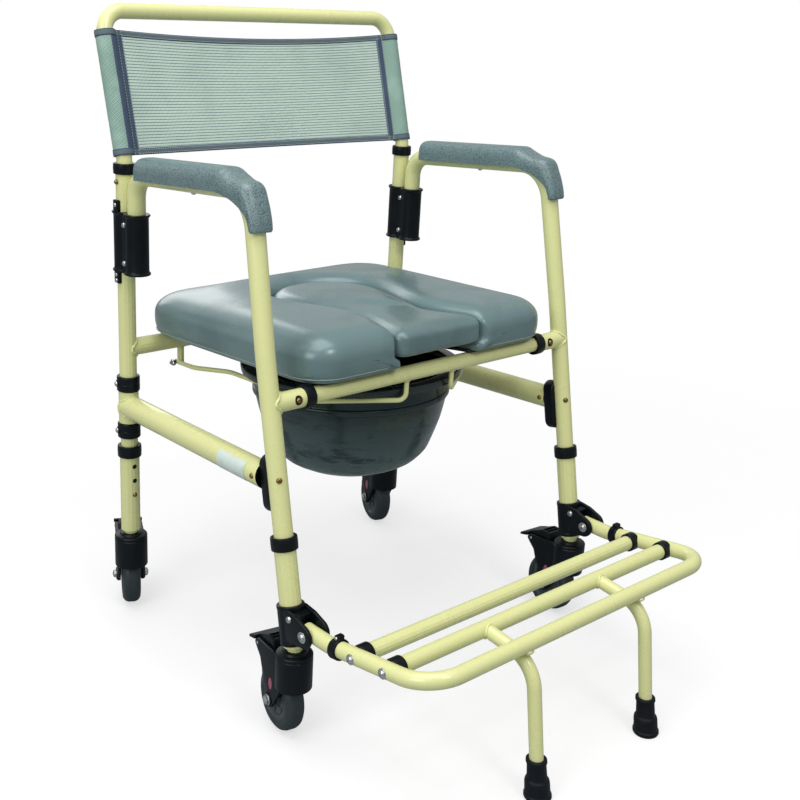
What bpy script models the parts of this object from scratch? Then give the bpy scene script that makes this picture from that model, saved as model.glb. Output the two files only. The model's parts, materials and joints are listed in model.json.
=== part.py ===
# Wheeled commode chair: a knock-down steel tube frame on four braked casters,
# with a lift-up cushioned seat, a pan on wire rails, a slung back and a folding footrest.
# Metres, +Z up, the sitter faces -Y, left is -X. The origin is on the floor, under the middle.
import bpy
import bmesh
from math import asin, atan2, ceil, cos, hypot, pi, radians, sin, sqrt, tan
from mathutils import Matrix, Vector

# Tubes and clearances
TUBE_OD = 0.0222          # rear posts, front legs and arms
TUBE_WALL = 0.0012
LOWER_TUBE_OD = 0.0254    # telescopic lower legs
HOOP_OD = 0.01905
CROSSBAR_OD = 0.01905
FOOT_TUBE_OD = 0.01905
SUPPORT_OD = 0.016
PAN_ROD_OD = 0.006
SIDE_RAIL_OD = 0.030
SLEEVE_OD = 0.0254
GAP = 0.0003              # between pieces that touch
SLIDE_GAP = 0.0004        # between tubes that slide in each other
ROUND = 16                # sides of a main tube
SMALL_ROUND = 12

# Plan of the frame
SEAT_HALF_WIDTH = 0.198
SEAT_SIDE_ROOM = 0.031    # from the cushion's side to a rear post's axis
FRONT_OUTSET = 0.0122     # front legs stand this much wider than the rear posts
POST_X = SEAT_HALF_WIDTH + SEAT_SIDE_ROOM
LEG_X = POST_X + FRONT_OUTSET
WHEELBASE = 0.3724        # swivel axis to swivel axis, front to rear
LEG_LEAN = radians(11.5)  # front legs lean forward at the foot
FRONT_BAR_Z = 0.392
REAR_BAR_Z = 0.373

# Casters
WHEEL_RADIUS = 0.040
WHEEL_WIDTH = 0.024
CASTER_TOP = 0.1205       # underside of the leg above the floor
CASTER_TRAIL = 0.027
BARREL_RADIUS = 0.0215
BARREL_BOTTOM = 0.068
BARREL_TOP = 0.1155
FORK_INSIDE = 0.01375     # half the gap between the cheeks
CHEEK_THICKNESS = 0.0045
AXLE_RADIUS = 0.004
AXLE_END = 0.0050          # axle proud of each cheek
STEM_RADIUS = 0.005
STEM_DEPTH = 0.022        # how far the stem goes into the barrel
NUT_RADIUS = 0.009
PEDAL_REACH = 0.080
PEDAL_PIVOT = (0.058, 0.0985)   # behind the swivel axis, above the floor
PEDAL_PIN_RADIUS = 0.002
PEDAL_TRAVEL = 0.0035      # the brake shoe stands this far off the tyre
SWIVEL_DEG = {"front_left": -11.0, "rear_left": -27.0, "front_right": -6.0, "rear_right": -19.0}

# Telescopic legs
REAR_MOUTH_Z = 0.2365
FRONT_MOUTH = 0.1245      # along the leg from the caster's top
LEG_FLOOR = 0.0155        # depth of the closed foot of a lower leg
INNER_LEG_START = 0.0225  # where the upper tube ends, above the foot
HOLE_PITCH = 0.020
HOLE_COUNT = 3
HOLE_RADIUS = 0.0034
BUTTON_HEIGHT = 0.0525    # lowest hole above the caster's top

# Backrest
POST_TOP = 0.6025
HOOP_INSERT = 0.105
BACK_BEND_Z = 0.611
BACK_LEAN = radians(15.6)
BACK_BEND_RADIUS = 0.040
HOOP_TOP = 0.781          # centre of the top tube
HOOP_CORNER = 0.028
BACK_BUTTON_DROP = 0.018
SLING_BOTTOM = 0.002      # along the uprights, above the bend
SLING_TOP_ROOM = 0.0005   # cloth ends this far below the hoop's corner
SLING_THICK = 0.0026
SLEEVE_CLOTH = 0.0016

# Arms
KNEE_INSET = 0.0047       # the legs bend in a little above the seat
ARM_FRONT_X = LEG_X - KNEE_INSET
KNEE_Z = 0.445
KNEE_BEND = 0.15
ARM_REAR_OFFSET = 0.0266  # arm tube in front of the post
ARM_REAR_Z = 0.5955
ARM_RISE = 0.085
ARM_REAR_BEND = 0.030
ARM_FRONT_BEND = 0.047
BRACKET_BOTTOM = 0.474
BRACKET_HEIGHT = 0.075
BRACKET_WALL = 0.0034
BRACKET_WAIST = 0.0115
BRACKET_LIP = 0.0018
PAD_REAR_INSET = 0.027    # pad starts in front of the rear tube's axis by this
PAD_TIP_Z = 0.573
PAD_BASE = -0.002

# Side rails
SLEEVE_BOTTOM = 0.2728
SLEEVE_HEIGHT = 0.043
RAIL_FRONT_Z = 0.307
PIVOT_COLLAR_HEIGHT = 0.020
PIVOT_COLLAR_RADIUS = 0.0146
SADDLE_WIDTH = 0.024
SADDLE_INWARD = 0.003     # plate set towards the middle of the chair
SADDLE_THICK = 0.011
SADDLE_LENGTH = 0.066
SADDLE_ABOVE = 0.025      # plate above the rail's axis

# Stubs and crossbar
STUB_LENGTH = 0.0512
STUB_INSERT = 0.030
COLLAR_WALL = 0.0025
COLLAR_OVER = 0.0110      # height of a leg collar below the tube's mouth
SHORT_COLLAR_OVER = 0.0085
COLLAR_LIP = 0.0045
COLLAR_CHAMFER = 0.0010

# Seat, in its own tilted frame: x across, y from the rear bar (front is negative), z up
SEAT_OVERHANG = 0.0228    # cushion reaches this far past the front bar's axis
SEAT_REAR = 0.028
SEAT_FRONT_CORNER = 0.045
SEAT_REAR_CORNER = 0.060
SEAT_THICK = 0.057
PLUG_HALF_WIDTH = 0.075
PLUG_WIDEST_Y = -0.125
PLUG_REAR = -0.051
NECK_HALF_WIDTH = 0.050
NECK_Y = -0.245
TONGUE_HALF_WIDTH = 0.070
PLUG_BOTTOM = 0.016
PLUG_GAP = 0.0025
LEDGE_WIDTH = 0.010        # step in the opening that the plug rests on

# Pan and its rails
PAN_Y = -0.172            # centre in the seat's y, from the rear bar
PAN_RIM_RADIUS = 0.1440
PAN_WALL_RADIUS = 0.1258
PAN_THICK = 0.0026
PAN_DEPTH = 0.1370
PAN_RIM_HEIGHT = 0.0095
PAN_ROD_X = 0.1305
PAN_ROD_FRONT_X = 0.038
PAN_ROD_FRONT_DROP = 0.034   # rod's axis below the front bar's axis
PAN_ROD_REAR_DROP = 0.031    # and below the rear bar's axis
HANGER_X = 0.150
HANGER_THICK = 0.004
HANGER_WIDTH = 0.010

# Footrest
PIVOT_FORWARD = 0.036     # pivot in front of the leg's axis
PIVOT_Z = 0.1495
PIVOT_PIN_RADIUS = 0.003
SOCKET_BOTTOM = 0.130
SOCKET_TOP = 0.170
SOCKET_WALL = 0.0033
EAR_INSIDE = 0.0101
EAR_THICK = 0.0048
EAR_RADIUS = 0.0135
FOOT_FLAT = 0.030         # level stretch from the pivot
FOOT_RISE = radians(8.6)
FOOT_REACH = 0.185        # pivot to the front bar's axis
FOOT_CORNER = 0.042
SLAT_REACH = (0.075, 0.125)
SUPPORT_X = 0.098
SUPPORT_AHEAD = 0.0127    # support legs stand this far in front of the front bar
SUPPORT_LEAN = radians(9.0)
SUPPORT_BEND = 0.040
TIP_HEIGHT = 0.046
TIP_RADIUS = 0.0158

# Places worked out from the sizes
SIDES = (("left", -1), ("right", 1))
PEDAL_TIP_HALF = 0.019
TUBE_R = TUBE_OD / 2
LOWER_R = LOWER_TUBE_OD / 2
HOOP_R = HOOP_OD / 2
BAR_R = CROSSBAR_OD / 2
FOOT_R = FOOT_TUBE_OD / 2
SUPPORT_R = SUPPORT_OD / 2
ROD_R = PAN_ROD_OD / 2


def leg_offset(z):
    """Front leg's axis behind its caster's axis at a height."""
    return tan(LEG_LEAN) * (z - CASTER_TOP)


def foot_rise_height(reach):
    """Height of the footrest's side tube at a distance in front of its pivot."""
    return PIVOT_Z + max(0.0, reach - FOOT_FLAT) * tan(FOOT_RISE)


FOOT_BAR_Z = foot_rise_height(FOOT_REACH)
SUPPORT_TOP_Z = FOOT_BAR_Z - FOOT_R - SUPPORT_R - GAP
PIVOT_REACH = WHEELBASE + PIVOT_FORWARD - leg_offset(PIVOT_Z)
TIP_REACH = PIVOT_REACH + FOOT_REACH + SUPPORT_AHEAD + SUPPORT_TOP_Z * tan(SUPPORT_LEAN)
REAR_SWING = -radians(SWIVEL_DEG["rear_left"])
REAR_REACH = PEDAL_REACH * cos(REAR_SWING) + PEDAL_TIP_HALF * sin(REAR_SWING)
POST_Y = (TIP_REACH + TIP_RADIUS - REAR_REACH) / 2
FOOT_Y = POST_Y - WHEELBASE
PIVOT_Y = POST_Y - PIVOT_REACH
BAR_RUN = WHEELBASE - leg_offset(FRONT_BAR_Z)   # rear bar to front bar, level
FRONT_BAR_Y = POST_Y - BAR_RUN
SEAT_FRONT = -BAR_RUN - SEAT_OVERHANG
SLING_HEIGHT = (HOOP_TOP - BACK_BEND_Z) / cos(BACK_LEAN) - HOOP_CORNER - SLING_TOP_ROOM - SLING_BOTTOM
ARM_REAR_Y = POST_Y - ARM_REAR_OFFSET
SEAT_BASE = TUBE_R + GAP


def seat_tilt():
    """Angle at which the seat's flat base touches both bars."""
    rise = FRONT_BAR_Z - REAR_BAR_Z
    return atan2(rise, BAR_RUN) - asin((TUBE_R - BAR_R) / hypot(BAR_RUN, rise))


SEAT_FRAME = Matrix.Translation((0, POST_Y, REAR_BAR_Z)) @ Matrix.Rotation(-seat_tilt(), 4, "X")


# Materials
def material(name, colour, roughness, metallic=0.0):
    mat = bpy.data.materials.new(name)
    mat.use_nodes = True
    shader = mat.node_tree.nodes["Principled BSDF"]
    shader.inputs["Base Color"].default_value = (*colour, 1.0)
    shader.inputs["Roughness"].default_value = roughness
    shader.inputs["Metallic"].default_value = metallic
    mat.diffuse_color = (*colour, 1.0)
    return mat


FINISHES = {
    "cream_steel": ((0.66, 0.65, 0.33), 0.42, 0.0),
    "black_plastic": ((0.012, 0.014, 0.018), 0.45, 0.0),
    "seat_foam": ((0.10, 0.125, 0.13), 0.35, 0.0),
    "arm_foam": ((0.13, 0.165, 0.175), 0.60, 0.0),
    "sling_mesh": ((0.30, 0.36, 0.35), 0.80, 0.0),
    "pan_plastic": ((0.055, 0.070, 0.078), 0.30, 0.0),
    "tyre_grey": ((0.075, 0.090, 0.095), 0.60, 0.0),
    "rubber": ((0.010, 0.010, 0.012), 0.70, 0.0),
}


# Building blocks
def clear_scene():
    for old in list(bpy.data.objects):
        bpy.data.objects.remove(old, do_unlink=True)


def make_object(name, bm):
    """Closes a bmesh with its faces pointing out and puts it in the scene."""
    bmesh.ops.recalc_face_normals(bm, faces=bm.faces)
    mesh = bpy.data.meshes.new(name)
    bm.to_mesh(mesh)
    bm.free()
    obj = bpy.data.objects.new(name, mesh)
    bpy.context.scene.collection.objects.link(obj)
    return obj


def combine(base, tools, operation="DIFFERENCE", solver="EXACT"):
    """Joins or cuts a base with other solids and removes those."""
    for tool in tools:
        step = base.modifiers.new(operation, "BOOLEAN")
        step.operation = operation
        step.solver = solver
        step.object = tool
    graph = bpy.context.evaluated_depsgraph_get()
    mesh = bpy.data.meshes.new_from_object(base.evaluated_get(graph))
    base.modifiers.clear()
    base.data = mesh
    for tool in tools:
        bpy.data.objects.remove(tool, do_unlink=True)
    return base


def finish(obj, name, finish_name, origin=(0, 0, 0), parent=None):
    """Names a piece, gives it its finish and sets its origin on its axis."""
    obj.name = name
    obj.data.name = name
    obj.data.transform(Matrix.Translation(-Vector(origin)))
    obj.location = Vector(origin)
    if parent:
        obj.parent = parent
        obj.location = Vector(origin) - parent.location
    if finish_name not in bpy.data.materials:
        material(finish_name, *FINISHES[finish_name])
    obj.data.materials.clear()
    obj.data.materials.append(bpy.data.materials[finish_name])
    obj.data.shade_smooth()
    obj.data.set_sharp_from_angle(angle=radians(32))
    return obj


def lathe(profile, matrix=Matrix(), sides=ROUND, closed=True):
    """Turns a profile of (radius, height) about the frame's Z."""
    bm = bmesh.new()
    verts = [bm.verts.new((radius, 0, height)) for radius, height in profile]
    edges = [bm.edges.new(pair) for pair in zip(verts, verts[1:])]
    if closed:
        edges.append(bm.edges.new((verts[-1], verts[0])))
    bmesh.ops.spin(bm, geom=verts + edges, cent=(0, 0, 0), axis=(0, 0, 1), steps=sides, angle=2 * pi,
                   use_merge=True)
    bmesh.ops.remove_doubles(bm, verts=bm.verts, dist=1e-6)
    bmesh.ops.transform(bm, matrix=matrix, verts=bm.verts)
    return make_object("turned", bm)


def rod(start, end, radius, sides=ROUND):
    """A plain round bar between two points."""
    return sweep([Vector(start), Vector(end)], radius, sides)


def box(low, high, matrix=Matrix()):
    bm = bmesh.new()
    low, high = Vector(low), Vector(high)
    bmesh.ops.create_cube(bm, size=1.0)
    size = high - low
    bmesh.ops.scale(bm, vec=size, verts=bm.verts)
    bmesh.ops.translate(bm, vec=(low + high) / 2, verts=bm.verts)
    bmesh.ops.transform(bm, matrix=matrix, verts=bm.verts)
    return make_object("block", bm)


def side_plate(outline, x_low, x_high, matrix=Matrix()):
    """A plate cut to an outline of (y, z) and as thick as its x range."""
    bm = bmesh.new()
    face = bm.faces.new([bm.verts.new((x_low, y, z)) for y, z in outline])
    made = bmesh.ops.extrude_face_region(bm, geom=[face])
    moved = [item for item in made["geom"] if isinstance(item, bmesh.types.BMVert)]
    bmesh.ops.translate(bm, vec=(x_high - x_low, 0, 0), verts=moved)
    bmesh.ops.transform(bm, matrix=matrix, verts=bm.verts)
    return make_object("plate", bm)


def round_path(corners, radii, step=radians(22.5)):
    """Points of a bent tube's axis: straight runs with an arc at each inner corner."""
    corners = [Vector(corner) for corner in corners]
    points = [corners[0]]
    for before, corner, after, radius in zip(corners, corners[1:], corners[2:], radii):
        into = (corner - before).normalized()
        out = (after - corner).normalized()
        turn = into.angle(out)
        reach = radius * tan(turn / 2)
        centre_way = (out - into).normalized()
        centre = corner + centre_way * hypot(radius, reach)
        axis = into.cross(out).normalized()
        spoke = corner - into * reach - centre
        count = max(2, ceil(turn / step))
        points += [centre + Matrix.Rotation(turn * i / count, 3, axis) @ spoke for i in range(count + 1)]
    points.append(corners[-1])
    return points


def path_frames(points, side=Vector((1, 0, 0))):
    """Frames along a path: Z runs along it and X starts near the given side."""
    ways = [(after - before).normalized() for before, after in zip(points, points[1:])]
    frames = []
    previous = None
    for index, point in enumerate(points):
        into = ways[max(index - 1, 0)]
        out = ways[min(index, len(ways) - 1)]
        way = (into + out).normalized()
        if previous is None:
            start = Vector((0, 1, 0)) if abs(side.dot(way)) > 0.9 else side
            across = (start - way * start.dot(way)).normalized()
        else:
            across = previous.rotation_difference(way) @ across
            across = (across - way * across.dot(way)).normalized()
        up = way.cross(across)
        frames.append(Matrix((across, up, way)).transposed().to_4x4())
        frames[-1].translation = point
        previous = way
    return frames


def sweep(points, radius, sides=ROUND, side=Vector((1, 0, 0))):
    """A round bar along a path, made by extruding one ring from frame to frame."""
    frames = path_frames(points, side)
    bm = bmesh.new()
    bmesh.ops.create_circle(bm, cap_ends=True, radius=radius, segments=sides, matrix=frames[0])
    ring = list(bm.edges)
    for before, after in zip(frames, frames[1:]):
        made = bmesh.ops.extrude_edge_only(bm, edges=ring)["geom"]
        moved = {item for item in made if isinstance(item, bmesh.types.BMVert)}
        ring = [item for item in made if isinstance(item, bmesh.types.BMEdge) and set(item.verts) <= moved]
        bmesh.ops.transform(bm, matrix=after @ before.inverted(), verts=list(moved))
    bmesh.ops.contextual_create(bm, geom=ring)
    return make_object("bar", bm)


def loft(sections):
    """A closed body through sections with the same number of points each."""
    bm = bmesh.new()
    rings = [[bm.verts.new(point) for point in section] for section in sections]
    for ring, after in zip(rings, rings[1:]):
        for index in range(len(ring)):
            follow = (index + 1) % len(ring)
            bm.faces.new((ring[index], ring[follow], after[follow], after[index]))
    bm.faces.new(rings[0])
    bm.faces.new(rings[-1])
    bm.normal_update()
    bmesh.ops.triangulate(bm, faces=[face for face in bm.faces if len(face.verts) > 4])
    return make_object("loft", bm)


def upright(x, y, z=0.0):
    return Matrix.Translation((x, y, z))


def leaning(side):
    """Frame at a front leg's foot with Z up along the leg."""
    return Matrix.Translation((side * LEG_X, FOOT_Y, CASTER_TOP)) @ Matrix.Rotation(-LEG_LEAN, 4, "X")


def across(x, y, z, side):
    """Frame with Z along the X axis, pointing to the middle of the chair."""
    return Matrix.Translation((x, y, z)) @ Matrix.Rotation(-side * pi / 2, 4, "Y")


# Rear frame: two posts, the welded rear bar and the pan rails' hangers
def rear_frame():
    foot = CASTER_TOP + INNER_LEG_START
    outer = [rod((side * POST_X, POST_Y, foot), (side * POST_X, POST_Y, POST_TOP), TUBE_R)
             for _, side in SIDES]
    outer.append(rod((-POST_X, POST_Y, REAR_BAR_Z), (POST_X, POST_Y, REAR_BAR_Z), TUBE_R))
    outer += [hanger(side) for _, side in SIDES]
    frame = combine(outer[0], outer[1:], "UNION")
    bore = TUBE_R - TUBE_WALL
    inner = [rod((side * POST_X, POST_Y, foot - 0.01), (side * POST_X, POST_Y, POST_TOP + 0.01), bore)
             for _, side in SIDES]
    inner.append(rod((-POST_X, POST_Y, REAR_BAR_Z), (POST_X, POST_Y, REAR_BAR_Z), bore))
    for _, side in SIDES:
        inner.append(back_button_bar(side, HOLE_RADIUS, TUBE_OD))
        inner.append(leg_button_bar(rear_leg_frame(side), -1, HOLE_RADIUS, TUBE_OD))
    combine(frame, inner)
    finish(frame, "rear_frame", "cream_steel")


def hanger(side):
    x = side * HANGER_X
    rod_z = REAR_BAR_Z - PAN_ROD_REAR_DROP
    outline = [(POST_Y - HANGER_WIDTH / 2, REAR_BAR_Z), (POST_Y + HANGER_WIDTH / 2, REAR_BAR_Z)]
    outline += [(POST_Y + HANGER_WIDTH / 2 * cos(-pi * i / 6), rod_z + HANGER_WIDTH / 2 * sin(-pi * i / 6))
                for i in range(7)]
    return side_plate(outline, x - HANGER_THICK / 2, x + HANGER_THICK / 2)


def rear_leg_frame(side):
    return upright(side * POST_X, POST_Y, CASTER_TOP)


def back_button_bar(side, radius, length):
    """Bar through the outer walls of a post and the hoop, for the snap button's hole."""
    z = POST_TOP - BACK_BUTTON_DROP
    start = (side * (POST_X + HOOP_R - TUBE_WALL - 0.001), POST_Y, z)
    return rod(start, (side * (POST_X + length), POST_Y, z), radius, 8)


def leg_button_bar(frame, facing, radius, reach, row=0):
    """Bar through the wall of a leg at one of its holes."""
    z = BUTTON_HEIGHT + row * HOLE_PITCH
    start = frame @ Vector((0, facing * (TUBE_R - TUBE_WALL - 0.001), z))
    end = frame @ Vector((0, facing * reach, z))
    return rod(start, end, radius, 8)


# Front leg and arm, bent from one tube, with the welded stub for the crossbar
def arm_corner_z():
    """Height at which the leg's line meets the arm's."""
    slope = tan(LEG_LEAN)
    return (ARM_REAR_Z + ARM_RISE * (ARM_REAR_Y - FOOT_Y + slope * CASTER_TOP)) / (1 + ARM_RISE * slope)


def arm_corners(side):
    corner_z = arm_corner_z()
    return [Vector((side * ARM_FRONT_X, FOOT_Y + leg_offset(corner_z), corner_z)),
            Vector((side * POST_X, ARM_REAR_Y, ARM_REAR_Z))]


def leg_points(side):
    """Axis of the front tube: foot, knee, front corner, rear corner and its end in the bracket."""
    foot = leaning(side) @ Vector((0, 0, INNER_LEG_START))
    knee = Vector((side * LEG_X, FOOT_Y + leg_offset(KNEE_Z), KNEE_Z))
    front, rear = arm_corners(side)
    end = Vector((side * POST_X, ARM_REAR_Y, BRACKET_BOTTOM + 0.004))
    return foot, knee, front, rear, end


def front_leg(name, side):
    frame = leaning(side)
    leg = sweep(round_path(leg_points(side), [KNEE_BEND, ARM_FRONT_BEND, ARM_REAR_BEND]), TUBE_R)
    stub_mouth = (side * (LEG_X - STUB_LENGTH), FRONT_BAR_Y, FRONT_BAR_Z)
    stub = rod((side * LEG_X, FRONT_BAR_Y, FRONT_BAR_Z), stub_mouth, TUBE_R)
    combine(leg, [stub], "UNION")
    bore_top = frame @ Vector((0, 0, 0.22))
    bores = [rod(frame @ Vector((0, 0, INNER_LEG_START - 0.01)), bore_top, TUBE_R - TUBE_WALL)]
    stub_inner = side * (LEG_X - STUB_LENGTH + STUB_INSERT + 0.001)
    bores.append(rod((stub_inner, FRONT_BAR_Y, FRONT_BAR_Z),
                     (side * (LEG_X - STUB_LENGTH - 0.01), FRONT_BAR_Y, FRONT_BAR_Z), BAR_R + GAP))
    bores.append(leg_button_bar(frame, 1, HOLE_RADIUS, TUBE_OD))
    combine(leg, bores)
    finish(leg, "front_leg_" + name, "cream_steel")


def front_crossbar():
    half = LEG_X - STUB_LENGTH + STUB_INSERT
    bore = BAR_R - TUBE_WALL
    frame = across(half, FRONT_BAR_Y, FRONT_BAR_Z, 1)
    bar = lathe([(bore, 0), (BAR_R, 0), (BAR_R, 2 * half), (bore, 2 * half)], frame)
    finish(bar, "front_crossbar", "cream_steel")


# Collar over the mouth of a tube that takes a thinner one
def mouth_collar(name, frame, big, small, over, origin=(0, 0, 0)):
    outer = big + COLLAR_WALL
    profile = [(big + GAP, -over), (outer, -over), (outer, COLLAR_LIP - COLLAR_CHAMFER),
               (outer - COLLAR_CHAMFER, COLLAR_LIP), (small + GAP, COLLAR_LIP), (small + GAP, GAP), (big + GAP, GAP)]
    finish(lathe(profile, frame), name, "black_plastic", origin)


# Pivot collar: a ring clamped on the post above or below a rail's sleeve
def pivot_collar(name, side, bottom):
    outer, bore = PIVOT_COLLAR_RADIUS, TUBE_R + GAP
    top = bottom + PIVOT_COLLAR_HEIGHT
    profile = [(bore, bottom), (outer, bottom), (outer, top), (bore, top)]
    finish(lathe(profile, upright(side * POST_X, POST_Y)), name, "black_plastic")


# Side rail: a wide tube welded to a sleeve that turns on the post
def rail_ends(side):
    """Rail's axis at the post and where it meets the slanted back of the saddle."""
    rear = Vector((side * POST_X, POST_Y, SLEEVE_BOTTOM + SLEEVE_HEIGHT / 2))
    back = TUBE_R + SADDLE_THICK
    return rear, leaning(side) @ Vector((0, back, rail_height()))


def rail_height():
    """Height along the leg, above the caster, where the rail's axis meets the saddle."""
    back = TUBE_R + SADDLE_THICK
    return (RAIL_FRONT_Z - CASTER_TOP + back * sin(LEG_LEAN)) / cos(LEG_LEAN)


def side_rail(name, side):
    rear, front = rail_ends(side)
    way = (front - rear).normalized()
    sleeve_top = SLEEVE_BOTTOM + SLEEVE_HEIGHT
    rail = sweep([rear, front + way * 0.01], SIDE_RAIL_OD / 2)
    sleeve = rod((rear.x, rear.y, SLEEVE_BOTTOM), (rear.x, rear.y, sleeve_top), SLEEVE_OD / 2)
    combine(rail, [sleeve], "UNION")
    cavity = sweep([rear, front + way * 0.02], SIDE_RAIL_OD / 2 - 2 * TUBE_WALL)
    bore = rod((rear.x, rear.y, SLEEVE_BOTTOM - 0.01), (rear.x, rear.y, sleeve_top + 0.01), TUBE_R + GAP)
    height = rail_height()
    slant = box((-0.03, -0.03, height - 0.05), (0.03, TUBE_R + SADDLE_THICK, height + 0.05), leaning(side))
    combine(rail, [cavity, bore, slant])
    finish(rail, "side_rail_" + name, "cream_steel", rear)


# Saddle that closes a rail's front end and seats on the back of the leg
def rail_saddle(name, side):
    rear, front = rail_ends(side)
    frame = leaning(side)
    top = rail_height() + SADDLE_ABOVE
    radius = SADDLE_WIDTH / 2
    ends = (top - radius, top - SADDLE_LENGTH + radius)
    middle = side * SADDLE_INWARD
    outline = [(middle + radius * cos(pi * i / 8), ends[0] + radius * sin(pi * i / 8)) for i in range(9)]
    outline += [(middle + radius * cos(pi + pi * i / 8), ends[1] + radius * sin(pi + pi * i / 8)) for i in range(9)]
    plate = side_plate(outline, 0.002, TUBE_R + SADDLE_THICK - GAP, frame @ Matrix.Rotation(pi / 2, 4, "Z"))
    way = (front - rear).normalized()
    plug = sweep([front - way * 0.018, front + way * 0.003], SIDE_RAIL_OD / 2 - 2 * TUBE_WALL - GAP)
    combine(plate, [plug], "UNION")
    leg = rod(frame @ Vector((0, 0, top - SADDLE_LENGTH - 0.02)), frame @ Vector((0, 0, top + 0.02)),
              TUBE_R + GAP)
    combine(plate, [leg])
    finish(plate, "rail_saddle_" + name, "black_plastic")


# Arm bracket: two barrels with flared lips, moulded side by side
def dogbone(x, radius, z):
    """Outline of two barrels joined by a narrower waist, around the post and the arm."""
    start = asin(BRACKET_WAIST / radius)
    outline = []
    for way, y in ((1, POST_Y), (-1, ARM_REAR_Y)):
        for i in range(11):
            turn = (pi - start) * (2 * i / 10 - 1)
            outline.append(Vector((x + way * radius * sin(turn), y + way * radius * cos(turn), z)))
    return outline


def arm_bracket(name, side):
    low, top = BRACKET_BOTTOM, BRACKET_BOTTOM + BRACKET_HEIGHT
    x = side * POST_X
    body = TUBE_R + BRACKET_WALL
    lip = body + BRACKET_LIP
    levels = [(lip, low), (lip, low + 0.0025), (body, low + 0.0055), (body, top - 0.0055), (lip, top - 0.0025),
              (lip, top)]
    bracket = loft([dogbone(x, radius, z) for radius, z in levels])
    ears = [bracket_ear(side, low - 0.013, low + 0.004), bracket_ear(side, top - 0.004, top + 0.013)]
    combine(bracket, ears, "UNION")
    arm_end = low + 0.004
    cuts = [rod((x, POST_Y, low - 0.02), (x, POST_Y, top + 0.02), TUBE_R + GAP),
            rod((x, ARM_REAR_Y, arm_end - GAP), (x, ARM_REAR_Y, top + 0.01), TUBE_R + GAP)]
    combine(bracket, cuts)
    finish(bracket, "arm_bracket_" + name, "black_plastic")


def bracket_ear(side, low, high):
    """Screw tab on the outer side of the post."""
    inner = POST_X + TUBE_R - 0.005
    xs = sorted((side * inner, side * (POST_X + TUBE_R + 0.0030)))
    return box((xs[0], POST_Y - 0.0055, low), (xs[1], POST_Y + 0.0055, high))


# Armrest pad: moulded foam that wraps the top of the arm and runs down the front bend
def pad_stations(side):
    """Frames along the pad with its half width and its height over the tube's axis."""
    front, rear = arm_corners(side)
    start = rear + (front - rear).normalized() * PAD_REAR_INSET
    knee = leg_points(side)[1]
    tip = front.lerp(knee, (front.z - PAD_TIP_Z) / (front.z - knee.z))
    points = round_path([start, front, tip], [ARM_FRONT_BEND])
    straight = points[1] - points[0]
    extra = [points[0] + straight * share for share in (0.03, 0.10, 0.45, 0.85)]
    points = [points[0]] + extra + points[1:]
    frames = path_frames(points)
    bend = radians(90) - LEG_LEAN + atan2(ARM_RISE, 1)
    stations = []
    for index, frame in enumerate(frames):
        way = frame.col[2].xyz
        turned = Vector((0, -1, ARM_RISE)).angle(way) / bend
        knuckle = 0.0045 * max(0.0, sin(pi * (turned - 0.45) / 0.5)) if turned > 0.45 else 0.0
        dip = -0.0025 * max(0.0, sin(pi * turned / 0.5)) if turned < 0.5 else 0.0
        height = 0.0245 - 0.0030 * turned + knuckle + dip
        width = 0.0218 - 0.0045 * turned
        ends = {0: 0.80, 1: 0.93, len(frames) - 1: 0.90}
        share = ends.get(index, 1.0)
        stations.append((frame, width * share, TUBE_R + 0.0010 + (height - TUBE_R - 0.0010) * share))
    return stations


def armrest_pad(name, side):
    groove = TUBE_R + GAP
    sections = []
    for frame, width, height in pad_stations(side):
        outer = []
        for i in range(9):
            turn = pi * i / 8
            rise = abs(sin(turn)) ** 0.62
            outer.append((max(width, groove + 0.0012) * cos(turn), PAD_BASE + (height - PAD_BASE) * rise))
        inner = [(groove * cos(pi * i / 8), groove * sin(pi * i / 8)) for i in range(8, -1, -1)]
        inner = [(-groove, PAD_BASE)] + inner + [(groove, PAD_BASE)]
        sections.append([frame @ Vector((x, y, 0)) for x, y in outer + inner])
    finish(loft(sections), "armrest_pad_" + name, "arm_foam")


# Backrest hoop and its sling
def hoop_side_path(side):
    lean_top = HOOP_TOP - BACK_BEND_Z
    top = Vector((side * POST_X, POST_Y + lean_top * tan(BACK_LEAN), HOOP_TOP))
    foot = Vector((side * POST_X, POST_Y, POST_TOP - HOOP_INSERT))
    bend = Vector((side * POST_X, POST_Y, BACK_BEND_Z))
    return foot, bend, top


def back_hoop():
    left = hoop_side_path(-1)
    right = hoop_side_path(1)
    corners = [left[0], left[1], left[2], right[2], right[1], right[0]]
    radii = [BACK_BEND_RADIUS, HOOP_CORNER, HOOP_CORNER, BACK_BEND_RADIUS]
    hoop = sweep(round_path(corners, radii), HOOP_R, SMALL_ROUND)
    bores = []
    for _, side in SIDES:
        foot = hoop_side_path(side)[0]
        bores.append(rod(foot - Vector((0, 0, 0.01)), foot + Vector((0, 0, HOOP_INSERT)), HOOP_R - TUBE_WALL))
        bores.append(back_button_bar(side, HOLE_RADIUS, TUBE_OD))
    combine(hoop, bores)
    finish(hoop, "back_hoop", "cream_steel", (0, POST_Y, POST_TOP))


def back_frame():
    """Frame at the backrest's bend with Z up along the uprights."""
    return Matrix.Translation((0, POST_Y, BACK_BEND_Z)) @ Matrix.Rotation(-BACK_LEAN, 4, "X")


def sling_line(height):
    """Outline of the cloth at a height: a sleeve round each upright and the sheet between them."""
    wrap = HOOP_R + GAP + SLEEVE_CLOTH
    start = asin(SLING_THICK / 2 / wrap)
    outline = []
    for way in (1, -1):
        for i in range(ROUND):
            turn = (pi - start) * (2 * i / (ROUND - 1) - 1)
            outline.append(back_frame() @ Vector((way * (POST_X + wrap * cos(turn)), way * wrap * sin(turn), height)))
    return outline


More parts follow.
